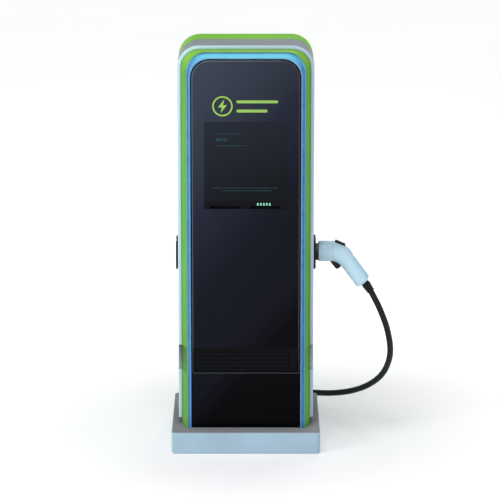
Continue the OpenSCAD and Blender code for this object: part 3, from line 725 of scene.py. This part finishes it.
# %% [markdown]
# ## The cabinet's skins
# Hood, rear shell, flared frame and light frame all follow one outline: up the left side, round a corner, along
# the top and down the right side. So one function gives that outline for any half width, height and corner
# radius, and a skin is a closed loop of such outlines, each at its own depth.


# %% The arch outline
ARC_STEPS = 20
HOOD_LOW = float(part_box("front_hood")[0][2])
PLINTH_TOP = float(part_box("plinth_top")[1][2])
STEP = 0.0008
OUTLET_Y = float(sum(c[1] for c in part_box("outlet_plate_right")) / 2)
OUTLET_Z = float(sum(c[2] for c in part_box("outlet_plate_right")) / 2)
HOLE_R = 0.048
HOLE_CELL = 0.054
STRAIGHT = [None, BAND_LOW - STEP, BAND_LOW + STEP, BAND_HIGH - STEP, BAND_HIGH + STEP, OUTLET_Z - HOLE_CELL,
            OUTLET_Z + HOLE_CELL]


def arch(half, low, top, radius, depth, notch=0.0):
    """Outline [point, xyz]: straight legs with points at the intake band's edges, quarter circles for the corners.
    Inside the band the outline steps back by notch."""
    angle = np.linspace(0, math.pi / 2, ARC_STEPS)
    leg = np.array([low if z is None else z for z in STRAIGHT])
    left = np.stack([np.full(len(leg), -half), leg], 1)
    corner = np.stack([-half + radius - radius * np.cos(angle), top - radius + radius * np.sin(angle)], 1)
    half_outline = np.vstack([left, corner])
    outline = np.vstack([half_outline, half_outline[::-1] * (-1, 1)])
    back = np.where((outline[:, 1] > BAND_LOW) & (outline[:, 1] < BAND_HIGH), notch, 0.0)
    return np.stack([outline[:, 0], depth + back, outline[:, 1]], 1)


def upness():
    """How far each outline point belongs to the top: 0 on the legs, rising round the corner to 1."""
    angle = np.linspace(0, 1, ARC_STEPS)
    half_outline = np.concatenate([np.zeros(len(STRAIGHT)), angle])
    return np.concatenate([half_outline, half_outline[::-1]])


def arch_skin(name, loops):
    """Closed body whose section is the row of loops and whose length follows the arch."""
    table = np.stack(loops, axis=1)
    return skin(name, table)


# %% [markdown]
# The hood is a 3 mm skin whose front edge is rolled in to a lip, seen from the front as the thin light blue line.
# Its section is walked round once: back edge, outside, rolled corner, lip, inside. In the air intake band the lip
# steps back into a notch on both sides, which is darkened partly by real shade and partly by painted shade in the
# hood's finish.

# %% Hood
hood_low, hood_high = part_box("front_hood")
HALF = float(hood_high[0])
TOP = float(hood_high[2])
CORNER = 0.101
HOOD_FRONT = float(hood_low[1])
SEAM_Y = float(hood_high[1])
SKIN = 0.003
LIP = 0.016
ROLL = 0.006
NOTCH = 0.014


def hood_loop(inset, depth, notch=0.0):
    """Hood outline drawn in by inset, all round."""
    return arch(HALF - inset, HOOD_LOW, TOP - inset, CORNER - inset, depth, notch)


roll = np.linspace(0, math.pi / 2, 6)
hood_loops = [hood_loop(0.0, y) for y in (SEAM_Y, OUTLET_Y + HOLE_CELL, OUTLET_Y - HOLE_CELL)]
hood_loops += [hood_loop(0.0, HOOD_FRONT + ROLL + 0.0008, NOTCH)]
hood_loops += [hood_loop(ROLL - ROLL * math.cos(a), HOOD_FRONT + ROLL - ROLL * math.sin(a), NOTCH) for a in roll]
hood_loops += [hood_loop(LIP - 0.002, HOOD_FRONT + 0.001, NOTCH), hood_loop(LIP, HOOD_FRONT + 0.003, NOTCH)]
hood_loops += [hood_loop(LIP, HOOD_FRONT + 0.018 + NOTCH), hood_loop(SKIN, HOOD_FRONT + 0.020 + NOTCH)]
hood_loops += [hood_loop(SKIN, y) for y in (OUTLET_Y - HOLE_CELL, OUTLET_Y + HOLE_CELL, SEAM_Y)]


def pierce(points, quads, radius, count=32):
    """Opens a round hole through both faces of the two side walls. The square cell round the hole's middle is
    taken out of each face, four pieces fill the space between its corners and the circle, and a sleeve joins
    the outer circle to the inner one. The angle runs about the X axis."""
    middle = points[quads].mean(axis=1)
    hit = (np.abs(middle[:, 1] - OUTLET_Y) < 0.001) & (np.abs(middle[:, 2] - OUTLET_Z) < 0.001)
    cells = quads[hit]
    cells = cells[np.argsort(points[cells[:, 0], 0])]
    turn = np.linspace(0, 2 * math.pi, count, endpoint=False) + math.pi / 4
    faces = []
    rings = []
    for number, cell in enumerate(cells):
        base = len(points) + number * count
        corner = points[cell]
        place = np.arctan2(corner[:, 2] - OUTLET_Z, corner[:, 1] - OUTLET_Y)
        start = np.round((place - math.pi / 4) / (2 * math.pi) * count).astype(int)
        way = 1 if (start[1] - start[0]) % count == count // 4 else -1
        for k in range(4):
            arc = base + (start[k] + way * np.arange(count // 4 + 1)) % count
            faces.append([cell[k], cell[(k + 1) % 4], *arc[::-1]])
        circle = [np.full(count, corner[0, 0]), OUTLET_Y + radius * np.cos(turn), OUTLET_Z + radius * np.sin(turn)]
        rings.append((base, way, np.column_stack(circle)))
    for first, second in ((0, 1), (2, 3)):
        a, way, _ = rings[first]
        b = rings[second][0]
        k = np.arange(count)
        sleeve = np.stack([a + k, a + (k + 1) % count, b + (k + 1) % count, b + k], axis=1)
        faces += (sleeve if way == 1 else sleeve[:, ::-1]).tolist()
    points = np.vstack([points] + [ring for _, _, ring in rings])
    return points, quads[~hit].tolist() + [[int(i) for i in face] for face in faces]


hood_points, hood_quads, hood_caps = walls_and_caps(np.stack(hood_loops, axis=1))
is_lip = np.zeros(len(hood_loops))
is_lip[4:-4] = 1.0
lip_tags = np.tile(is_lip, len(upness()))
hood_points, hood_faces = pierce(hood_points, hood_quads, HOLE_R)
hood = add_mesh("hood_skin", hood_points, hood_faces + [cap.tolist() for cap in hood_caps])
tag(hood, "lip", np.concatenate([lip_tags, np.zeros(len(hood_points) - len(lip_tags))]))
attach(hood, "root")
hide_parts("front_hood")
dress(hood, "hood_paint")
print("hood:", len(hood.data.polygons), "faces")

# %% [markdown]
# The rear shell carries on the hood's outline in green. Its rear edge turns in with a 12 mm radius to a flange
# that frames the door opening, so the inner end of its section follows the opening and not the outline.

# %% Rear shell
rear_low, rear_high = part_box("rear_shell")
REAR_Y = float(rear_high[1])
REAR_FRONT = float(rear_low[1])
REAR_ROLL = 0.012
OPENING_HALF = 0.262
OPENING_TOP = 1.780
rear_roll = np.linspace(0, math.pi / 2, 7)
rear_loops = [hood_loop(0.0, REAR_FRONT)]
rear_loops += [hood_loop(REAR_ROLL * (1 - math.cos(a)), REAR_Y - REAR_ROLL + REAR_ROLL * math.sin(a))
               for a in rear_roll]
rear_loops += [arch(OPENING_HALF, HOOD_LOW, OPENING_TOP, 0.008, y) for y in (REAR_Y, REAR_Y - SKIN)]
rear_loops += [hood_loop(0.014, REAR_Y - SKIN), hood_loop(SKIN, REAR_Y - 0.014), hood_loop(SKIN, REAR_FRONT)]
rear = arch_skin("rear_skin", rear_loops)
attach(rear, "root")
dress(rear, "green_paint")
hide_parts("rear_shell")


# %% [markdown]
# Below the door the shell closes with a sill. It is a plain folded strip between the two legs of the shell,
# made as a stack of slightly rounded rectangles.


# %% Soft-edged slabs
def slab(name, low, high, edge=0.0015, steps=3):
    """Box with rounded edges: its outline is a rounded rectangle, and towards both faces the outline shrinks by
    edge * (1 - cos a) while the height closes by edge * (1 - sin a)."""
    low, high = np.asarray(low, float), np.asarray(high, float)
    turn = np.linspace(0, math.pi / 2, steps + 1)
    inset = np.concatenate([edge * (1 - np.sin(turn)), edge * (1 - np.cos(turn))])
    level = np.concatenate([edge * (1 - np.cos(turn)), (high[2] - low[2]) - edge * (1 - np.sin(turn))])
    radius = edge * 1.2
    quarter = np.linspace(0, math.pi / 2, 4)
    rings = []
    for shrink, rise in zip(inset, level):
        corner_r = max(radius - shrink, 0.0001)
        sides = []
        for k, (cx, cy) in enumerate(((1, 1), (0, 1), (0, 0), (1, 0))):
            middle = np.array([(high[0] - shrink - corner_r) if cx else (low[0] + shrink + corner_r),
                               (high[1] - shrink - corner_r) if cy else (low[1] + shrink + corner_r)])
            turn_k = quarter + k * math.pi / 2
            sides.append(middle + corner_r * np.stack([np.cos(turn_k), np.sin(turn_k)], 1))
        ring = np.vstack(sides)
        rings.append(np.column_stack([ring, np.full(len(ring), low[2] + rise)]))
    return skin(name, np.stack(rings))


sill = slab("rear_sill", (-OPENING_HALF, REAR_Y - SKIN, HOOD_LOW), (OPENING_HALF, REAR_Y, 0.172), 0.001)
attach(sill, "root")
dress(sill, "green_paint")
print("rear shell:", len(rear.data.polygons), "faces, sill", len(sill.data.polygons))

# %% [markdown]
# The green frame flares from the hood's lip out to the light frame. On the real post it is a pressing between
# two outlines of different width, so its section runs straight from one to the other, and its two corner radii
# differ. The intake band is notched into it as well.

# %% Flared frame
light_low, light_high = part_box("light_frame")
FRAME_HALF = float(light_high[0])
FRAME_TOP = float(light_high[2])
FRAME_R = 0.092
FRONT = float(light_low[1])
FLARE_IN = LIP + 0.0004


def flare_loop(share, inset, push=0.0, notch=0.0):
    """Outline at a share of the way from the lip (0) to the light frame (1), drawn in by inset."""
    half = (HALF - FLARE_IN) * (1 - share) + (FRAME_HALF + 0.0012) * share - inset
    top = (TOP - FLARE_IN) * (1 - share) + (FRAME_TOP + 0.0012) * share - inset
    radius = (CORNER - FLARE_IN) * (1 - share) + FRAME_R * share - inset
    depth = (HOOD_FRONT + 0.002) * (1 - share) + (FRONT + 0.002) * share + push
    return arch(half, PLINTH_TOP + 0.0005, top, radius, depth, notch)


flare_loops = [flare_loop(0.0, 0.0, 0.016)]
flare_loops += [flare_loop(s, 0.0, 0.0, NOTCH * (1 - s)) for s in (0.0, 0.25, 0.5, 0.75, 0.97)]
flare_loops += [flare_loop(1.0, 0.0012), flare_loop(1.0, 0.004, 0.022)]
flare_loops += [flare_loop(0.6, 0.006, 0.024), flare_loop(0.0, 0.005, 0.016)]
flare = arch_skin("flared_frame", flare_loops)
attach(flare, "root")
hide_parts("chamfer_frame")
flare.data.materials.append(powder_coat("flare_green", FLARE_GREEN, 0.45, 0.25, 0.02, 0.10, FLARE_PAINTED_TOP_LIGHT))

# %% [markdown]
# The light frame is a convex moulding: its front face swells by a few millimetres between two rounded edges. The
# top bar is wider than the sides, so inner and outer outlines are interpolated in width and height separately.

# %% Light frame
glass_low, glass_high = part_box("glass_fascia")
GLASS_HALF = float(glass_high[0])
GLASS_TOP = float(glass_high[2])
GLASS_R = 0.080
GAP = 0.0062
SWELL = 0.0045


def light_loop(share, depth):
    """Outline between the frame's outer edge (0) and its inner edge (1)."""
    inner = np.array([GLASS_HALF + GAP, GLASS_TOP + GAP, GLASS_R + GAP])
    outer = np.array([FRAME_HALF, FRAME_TOP, FRAME_R])
    half, top, radius = outer * (1 - share) + inner * share
    return arch(half, PLINTH_TOP + 0.0005, top, radius, depth)


shares = np.linspace(0, 1, 13)
face = FRONT + 0.001 + SWELL * (2 * shares - 1) ** 4
light_loops = [light_loop(0.0, FRONT + 0.019)]
light_loops += [light_loop(share, depth) for share, depth in zip(shares, face)]
light_loops += [light_loop(1.0, FRONT + 0.019)]
light = arch_skin("light_moulding", light_loops)
points_along = len(upness())
tag(light, "up", np.repeat(upness(), len(light_loops)))
tag(light, "across", np.tile(np.concatenate([[0.0], shares, [1.0]]), points_along))
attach(light, "root")
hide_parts("light_frame")
dress(light, "ring_blue")

# %% [markdown]
# Behind the glass and the light frame lies a black carrier. It is what is seen in the narrow gap round the glass.

# %% Black carrier in the gap
carrier_loops = [light_loop(0.9, FRONT + 0.008), light_loop(1.45, FRONT + 0.008),
                 light_loop(1.45, FRONT + 0.018), light_loop(0.9, FRONT + 0.018)]
carrier = arch_skin("glass_carrier", carrier_loops)
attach(carrier, "root")
dress(carrier, "dark_trim")

# %% [markdown]
# Toughened glass has a ground and polished edge, which shows as a fine bright line along the top and the left
# side, partly from its own shine and partly as a painted highlight in its colour. It is a slim bevelled bead that
# follows the glass's outline.


# %% Polished glass edge
def edge_loop(inset, depth):
    """Glass outline drawn in by inset, from the intake band upwards."""
    return arch(GLASS_HALF - inset, BAND_HIGH, GLASS_TOP - inset, GLASS_R - inset, depth)


def clear_edge(s):
    # Lighter towards the upper left: painted highlight.
    shine = (s.axis("Z") * 0.5 - s.axis("X") * 1.6 - 0.35).clip()
    return {
        "Base Color": shine.mix((0.012, 0.014, 0.018), (0.080, 0.092, 0.120)),
        "Roughness": s.noise(60.0).step(0.3, 0.7) * 0.08 + 0.16,
        "Specular IOR Level": 0.5,
    }


BEAD = ((0.0, 0.0025), (0.0, 0.0005), (0.0016, -0.0005), (0.0042, -0.0004), (0.0042, 0.0025))
edge_bead = arch_skin("glass_edge", [edge_loop(inset, glass_low[1] + depth) for inset, depth in BEAD])
edge_bead.data.materials.append(finish_of("glass_edge", clear_edge))
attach(edge_bead, "root")

# %% [markdown]
# The lower panel is a separate pane under the air intake. Its top edge is polished too, and shows as one fine
# bright line. It is a straight rounded bar along that edge.

# %% Polished panel edge
panel_low, panel_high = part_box("lower_panel")
PANEL_EDGE = 0.0030
panel_edge = slab("panel_edge", [panel_low[0] + 0.003, panel_low[1] - 0.0006, panel_high[2] - PANEL_EDGE],
                  [panel_high[0] - 0.003, panel_low[1] + 0.0030, panel_high[2] + 0.0004], 0.0008)


def ground_edge(s):
    return {
        "Base Color": s.noise(12.0).step(0.3, 0.7).mix((0.026, 0.030, 0.036), (0.036, 0.041, 0.048)),
        "Roughness": s.noise(90.0).step(0.3, 0.7) * 0.1 + 0.3,
        "Specular IOR Level": 0.3,
    }


panel_edge.data.materials.append(finish_of("panel_edge", ground_edge))
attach(panel_edge, "root")

# %% [markdown]
# ## The plinth
# The plinth is a folded steel skirt with a flat cover. Both are stacks of rounded squares: quarter turns of a circle
# round off the foot, the upright corners and the cover's rim, where a plain box would have knife edges.

# %% Plinth
plinth_low, plinth_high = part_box("plinth_skirt")
COVER_LOW = float(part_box("plinth_top")[0][2])


def square_ring(half, radius, height):
    """Rounded square outline at a height: quarter circles of radius about the four corner points."""
    quarter = np.linspace(0, math.pi / 2, 9)
    turn = (quarter[None] + np.arange(4)[:, None] * math.pi / 2)
    sign = np.array([[1, 1], [-1, 1], [-1, -1], [1, -1]])[:, None, :]
    ring = (sign * (half - radius) + radius * np.stack([np.cos(turn), np.sin(turn)], 2)).reshape(-1, 2)
    return np.column_stack([ring, np.full(len(ring), height)])


plinth_half = float(plinth_high[0])
PLINTH_R = 0.016
foot_turn = np.linspace(0, math.pi / 2, 6)
FOOT = 0.010
skirt_rings = [square_ring(plinth_half - 0.030, 0.006, 0.0)]
skirt_rings += [square_ring(plinth_half - FOOT * (1 - math.sin(a)), PLINTH_R, FOOT * (1 - math.cos(a)))
                for a in foot_turn]
skirt_rings += [square_ring(plinth_half, PLINTH_R, COVER_LOW), square_ring(plinth_half - 0.004, PLINTH_R, COVER_LOW)]
skirt = skin("plinth_walls", np.stack(skirt_rings))
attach(skirt, "root")
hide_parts("plinth_skirt")
dress(skirt, "plinth_paint")

cover_turn = np.linspace(0, math.pi / 2, 6)
COVER_ROLL = 0.0025
cover_rings = [square_ring(plinth_half - 0.001, PLINTH_R, COVER_LOW + 0.0004)]
cover_rings += [square_ring(plinth_half - COVER_ROLL * (1 - math.cos(a)), PLINTH_R,
                            PLINTH_TOP - COVER_ROLL * (1 - math.sin(a))) for a in cover_turn]
cover = skin("plinth_cover", np.stack(cover_rings))
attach(cover, "root")
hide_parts("plinth_top")
dress(cover, "plinth_top_paint")

# %% [markdown]
# ## The gun
# The gun's body is a lofted form: a round barrel that bends down into a grip. Its side view is set by pairs of
# points, one on the back and one on the underside, and between each pair stands a rounded section. The body is
# moulded in two halves, so each section is cut at the middle plane.

# %% Loft of the gun's halves
GUN_Y = -0.100
GUN_Z = 0.899
BACK = np.array([[0.401, 0.0498], [0.411, 0.0475], [0.434, 0.0377], [0.459, 0.0275], [0.474, 0.0155],
                 [0.487, 0.0010], [0.4970, -0.0170], [0.514, -0.0400], [0.532, -0.0650], [0.550, -0.0895],
                 [0.5640, -0.1085], [0.5668, -0.1150], [0.5650, -0.1270]])
UNDER = np.array([[0.401, -0.0436], [0.408, -0.0455], [0.418, -0.0500], [0.429, -0.0575], [0.437, -0.0655],
                  [0.443, -0.0730], [0.4520, -0.0850], [0.469, -0.1075], [0.486, -0.1310], [0.500, -0.1500],
                  [0.5100, -0.1615], [0.5160, -0.1640], [0.5260, -0.1620]])
WIDTH = np.array([0.0455, 0.0455, 0.0440, 0.0425, 0.0410, 0.0400, 0.0385, 0.0375, 0.0370, 0.0365, 0.0355, 0.0325,
                  0.0240])
SQUARENESS = 2.3


def gun_half(name, sign, count=25):
    """Half section: x = |cos|^(2/n), y = |sin|^(2/n) of a superellipse with exponent n, stretched between the
    back and underside points and bulged by the half width, then closed along the middle plane."""
    fine = 5
    back = smooth_line(np.column_stack([BACK, WIDTH]), fine)
    under = smooth_line(np.column_stack([UNDER, WIDTH]), fine)
    angle = np.linspace(0, math.pi, count)
    along = np.sign(np.cos(angle)) * np.abs(np.cos(angle)) ** (2 / SQUARENESS)
    out = np.abs(np.sin(angle)) ** (2 / SQUARENESS)
    middle = (back[:, :2] + under[:, :2]) / 2
    reach = (back[:, :2] - under[:, :2]) / 2
    flat = middle[:, None] + along[None, :, None] * reach[:, None]
    side = GUN_Y + sign * (0.00015 + out[None, :] * back[:, 2:3])
    return skin(name, np.stack([flat[..., 0], side, GUN_Z + flat[..., 1]], axis=-1))


for side_name, sign in (("left", -1), ("right", 1)):
    half = gun_half("gun_half_" + side_name, sign)
    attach(half, "gun")
    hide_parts("gun_shell_" + side_name)
    dress(half, "gun_plastic")


# %% [markdown]
# Nose sleeve, collar and gland are turned forms. A profile of distance along the axis and radius is spun about
# that axis, which is all that `turned` does.


# %% Turned pieces of the gun
def turned(name, profile, start, direction, count=48):
    """Surface of revolution: each profile point (distance, radius) becomes a circle about the axis. The profile
    is a closed loop, so the body is a ring."""
    profile = np.asarray(profile, float)
    direction = np.asarray(direction, float) / np.linalg.norm(direction)
    side = np.cross(direction, (0.0, 1.0, 0.0))
    side /= np.linalg.norm(side)
    other = np.cross(direction, side)
    angle = np.linspace(0, 2 * math.pi, count, endpoint=False)
    circle = np.cos(angle)[:, None] * side + np.sin(angle)[:, None] * other
    table = (np.asarray(start, float) + profile[None, :, :1] * direction
             + profile[None, :, 1:] * circle[:, None, :])
    return skin(name, table, closed_rows=True)


nose_low, nose_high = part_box("gun_nose")
NOSE = float(nose_high[0] - nose_low[0])
NOSE_RISE = 0.003
nose = turned("nose_sleeve", [(0.0, 0.0450), (0.0012, 0.0465), (0.0030, 0.0475), (NOSE - 0.0025, 0.0475),
                              (NOSE - 0.0008, 0.0467), (NOSE, 0.0455), (NOSE, 0.0360), (0.0, 0.0360)],
              (nose_low[0], GUN_Y, GUN_Z + NOSE_RISE), (1, 0, 0))
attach(nose, "gun")
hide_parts("gun_nose")
dress(nose, "gun_plastic")

plate_face = float(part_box("outlet_plate_right")[1][0])
collar = turned("collar_band", [(0.0008, 0.0330), (0.0008, 0.0392), (0.0020, 0.0400), (0.0036, 0.0400),
                                (0.0044, 0.0388), (0.0056, 0.0388), (0.0064, 0.0400), (0.0112, 0.0400),
                                (0.0122, 0.0392), (0.0124, 0.0330)], (plate_face, GUN_Y, GUN_Z), (1, 0, 0))
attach(collar, "gun")


def collar_with_painted_highlight(s):
    """Black plastic, painted lighter grey in patches on top as a painted highlight, and a little glossier there."""
    painted_top_highlight = s.axis("Z").step(GUN_Z - 0.012, GUN_Z + 0.030) * s.noise(45.0, 3.0).step(0.25, 0.55)
    return {
        "Base Color": painted_top_highlight.mix((0.009, 0.011, 0.013), (0.130, 0.150, 0.165)),
        "Roughness": 0.5 - painted_top_highlight * 0.18,
        "Normal": s.cells(850.0).bump(0.3, 0.00012),
        "Specular IOR Level": 0.3,
    }


collar.data.materials.append(finish_of("collar_with_painted_highlight", collar_with_painted_highlight))

# %% [markdown]
# The bend relief is a soft tapered sleeve with ribs, so that the heavy cable can't kink where it leaves the grip.
# Its profile is a tapering core with a raised cosine for each rib.

# %% Ribbed bend relief
GLAND_TOP = np.array([0.552, GUN_Y, GUN_Z - 0.150])
GLAND_TILT = math.radians(56)
GLAND_LONG = 0.044
along = np.linspace(-0.020, GLAND_LONG, 120)
taper = 0.0198 - 0.075 * np.clip(along - 0.006, 0, None)
rib = np.clip(np.cos(along / 0.0105 * 2 * math.pi) * 2.0, -1, 1) * 0.0024
radius = np.where(along < 0.001, 0.0168, taper + rib)
radius[-1] = 0.0150
outer = np.column_stack([along, radius])
gland = turned("bend_relief", np.vstack([outer, [[GLAND_LONG, 0.0142], [-0.020, 0.0142]]]), GLAND_TOP,
               (math.cos(GLAND_TILT), 0, -math.sin(GLAND_TILT)))
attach(gland, "gun")
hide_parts("gun_gland")
dress(gland, "seal_rubber")


# %% [markdown]
# Latch button and trigger are small moulded levers. Each is an outline in the side view with rounded corners,
# carried across the gun and drawn in towards both flanks, like a worn bar of soap.


# %% Soft-flanked levers
def lever(name, outline, half_width, edge, middle_y, round_steps=4, corner=0.0025):
    """Outline [point, xz] with its corners rounded by quadratic arcs, carried from flank to flank. Near a flank
    the outline shrinks towards its middle as a quarter circle."""
    outline = np.asarray(outline, float)
    before, after = np.roll(outline, 1, axis=0), np.roll(outline, -1, axis=0)
    to_before = before - outline
    to_after = after - outline
    cut_before = outline + to_before / np.linalg.norm(to_before, axis=1, keepdims=True) * corner
    cut_after = outline + to_after / np.linalg.norm(to_after, axis=1, keepdims=True) * corner
    t = np.linspace(0, 1, round_steps)[None, :, None]
    arcs = (1 - t) ** 2 * cut_before[:, None] + 2 * t * (1 - t) * outline[:, None] + t**2 * cut_after[:, None]
    ring = arcs.reshape(-1, 2)
    centre = ring.mean(axis=0)
    reach = np.linalg.norm(ring - centre, axis=1, keepdims=True)
    turn = np.linspace(0, math.pi / 2, 5)
    inset = np.concatenate([edge * (1 - np.sin(turn)), edge * (1 - np.cos(turn))])
    across = np.concatenate([-half_width + edge * (1 - np.cos(turn)), half_width - edge * (1 - np.sin(turn))])
    rings = []
    for shrink, y in zip(inset, across):
        drawn = centre + (ring - centre) * (1 - shrink / reach)
        rings.append(np.column_stack([drawn[:, 0], np.full(len(drawn), middle_y + y), drawn[:, 1]]))
    return skin(name, np.stack(rings))


BUTTON_TILT = math.radians(24)
button_mid = np.array([0.4335, GUN_Z + 0.0405])
slope = np.array([math.cos(BUTTON_TILT), -math.sin(BUTTON_TILT)])
square = np.array([math.sin(BUTTON_TILT), math.cos(BUTTON_TILT)])
button_outline = [button_mid + slope * u + square * v
                  for u, v in ((-0.0255, -0.006), (0.0255, -0.006), (0.0255, 0.006), (-0.0255, 0.006))]
button = lever("latch_button", button_outline, 0.012, 0.0015, GUN_Y)
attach(button, "button")
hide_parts("gun_button")
dress(button, "gun_black")

pivot = np.array([0.396, GUN_Z - 0.031])
trigger_outline = pivot + np.array([[-0.007, 0.003], [-0.008, -0.015], [0.016, -0.046], [0.026, -0.051],
                                    [0.042, -0.038], [0.054, -0.020], [0.046, -0.004], [0.002, 0.007]])
trigger = lever("trigger_lever", trigger_outline, 0.0085, 0.002, GUN_Y)
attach(trigger, "trigger")
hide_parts("gun_trigger")
dress(trigger, "gun_black")

# %% [markdown]
# ## Radii on the hard parts
# Sheet metal and moulded parts never end in a knife edge. These nodes keep the model's own shape, as a copy whose
# triangles are joined into whole faces, so that a bevel can put a fine radius on each edge.

# %% Soften the edges of model nodes
RADII = {
    "rear_door": ("door", 0.0015), "lock_plate": ("door", 0.0010), "lock_handle": ("lock", 0.0020),
    "outlet_plate_left": ("root", 0.0012), "outlet_plate_right": ("root", 0.0015), "outlet_lid": ("lid", 0.0004),
    "lower_panel": ("root", 0.0012), "glass_fascia": ("root", 0.0006), "reader_bar": ("root", 0.0006),
    "kick_plate": ("root", 0.0010), "cable_gland": ("root", 0.0015), "holster_cup": ("root", 0.0010),
    "gun_connector": ("gun", 0.0010), "isolator_body": ("root", 0.0020), "isolator_handle": ("isolator", 0.0020),
    "contactors": ("root", 0.0015), "controller_box": ("root", 0.0012), "supply_unit": ("root", 0.0010),
    "power_module_1": ("root", 0.0010), "power_module_2": ("root", 0.0010), "power_module_3": ("root", 0.0010),
    "fan_frames": ("door", 0.0010), "hinge_fixed_leaves": ("root", 0.0006), "hinge_door_leaves": ("door", 0.0006),
}
soft_parts = [softened(node, body, width) for node, (body, width) in RADII.items()]
print("softened:", len(soft_parts), "parts")

# %% [markdown]
# ## The screen
# The screen is asleep: faint lines and a plain block show that it is a display, with no wording on it.

# %% Faint lines on the screen
screen_low, screen_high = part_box("screen_glass")
SCREEN_FACE = float(screen_low[1])
LINES = [(-0.135, -0.018, 1.481, 0.003), (-0.135, -0.085, 1.454, 0.012), (-0.135, 0.009, 1.426, 0.003),
         (-0.153, 0.145, 1.231, 0.003), (-0.108, 0.118, 1.219, 0.003)]


def sleepy_line(s):
    flicker = s.noise(180.0, 2.0, (1.0, 1.0, 0.1)).step(0.35, 0.7)
    colour = flicker.mix((0.010, 0.028, 0.034), (0.020, 0.052, 0.060))
    return {"Base Color": colour, "Roughness": flicker * 0.1 + 0.4, "Specular IOR Level": 0.1}


line_finish = finish_of("screen_lines", sleepy_line)
for number, (x0, x1, z, tall) in enumerate(LINES):
    bar = slab(f"screen_line_{number + 1}", (x0, SCREEN_FACE - 0.0002, z - tall / 2),
               (x1, SCREEN_FACE + 0.0004, z + tall / 2), 0.0001, 1)
    bar.data.materials.append(line_finish)
    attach(bar, "root")
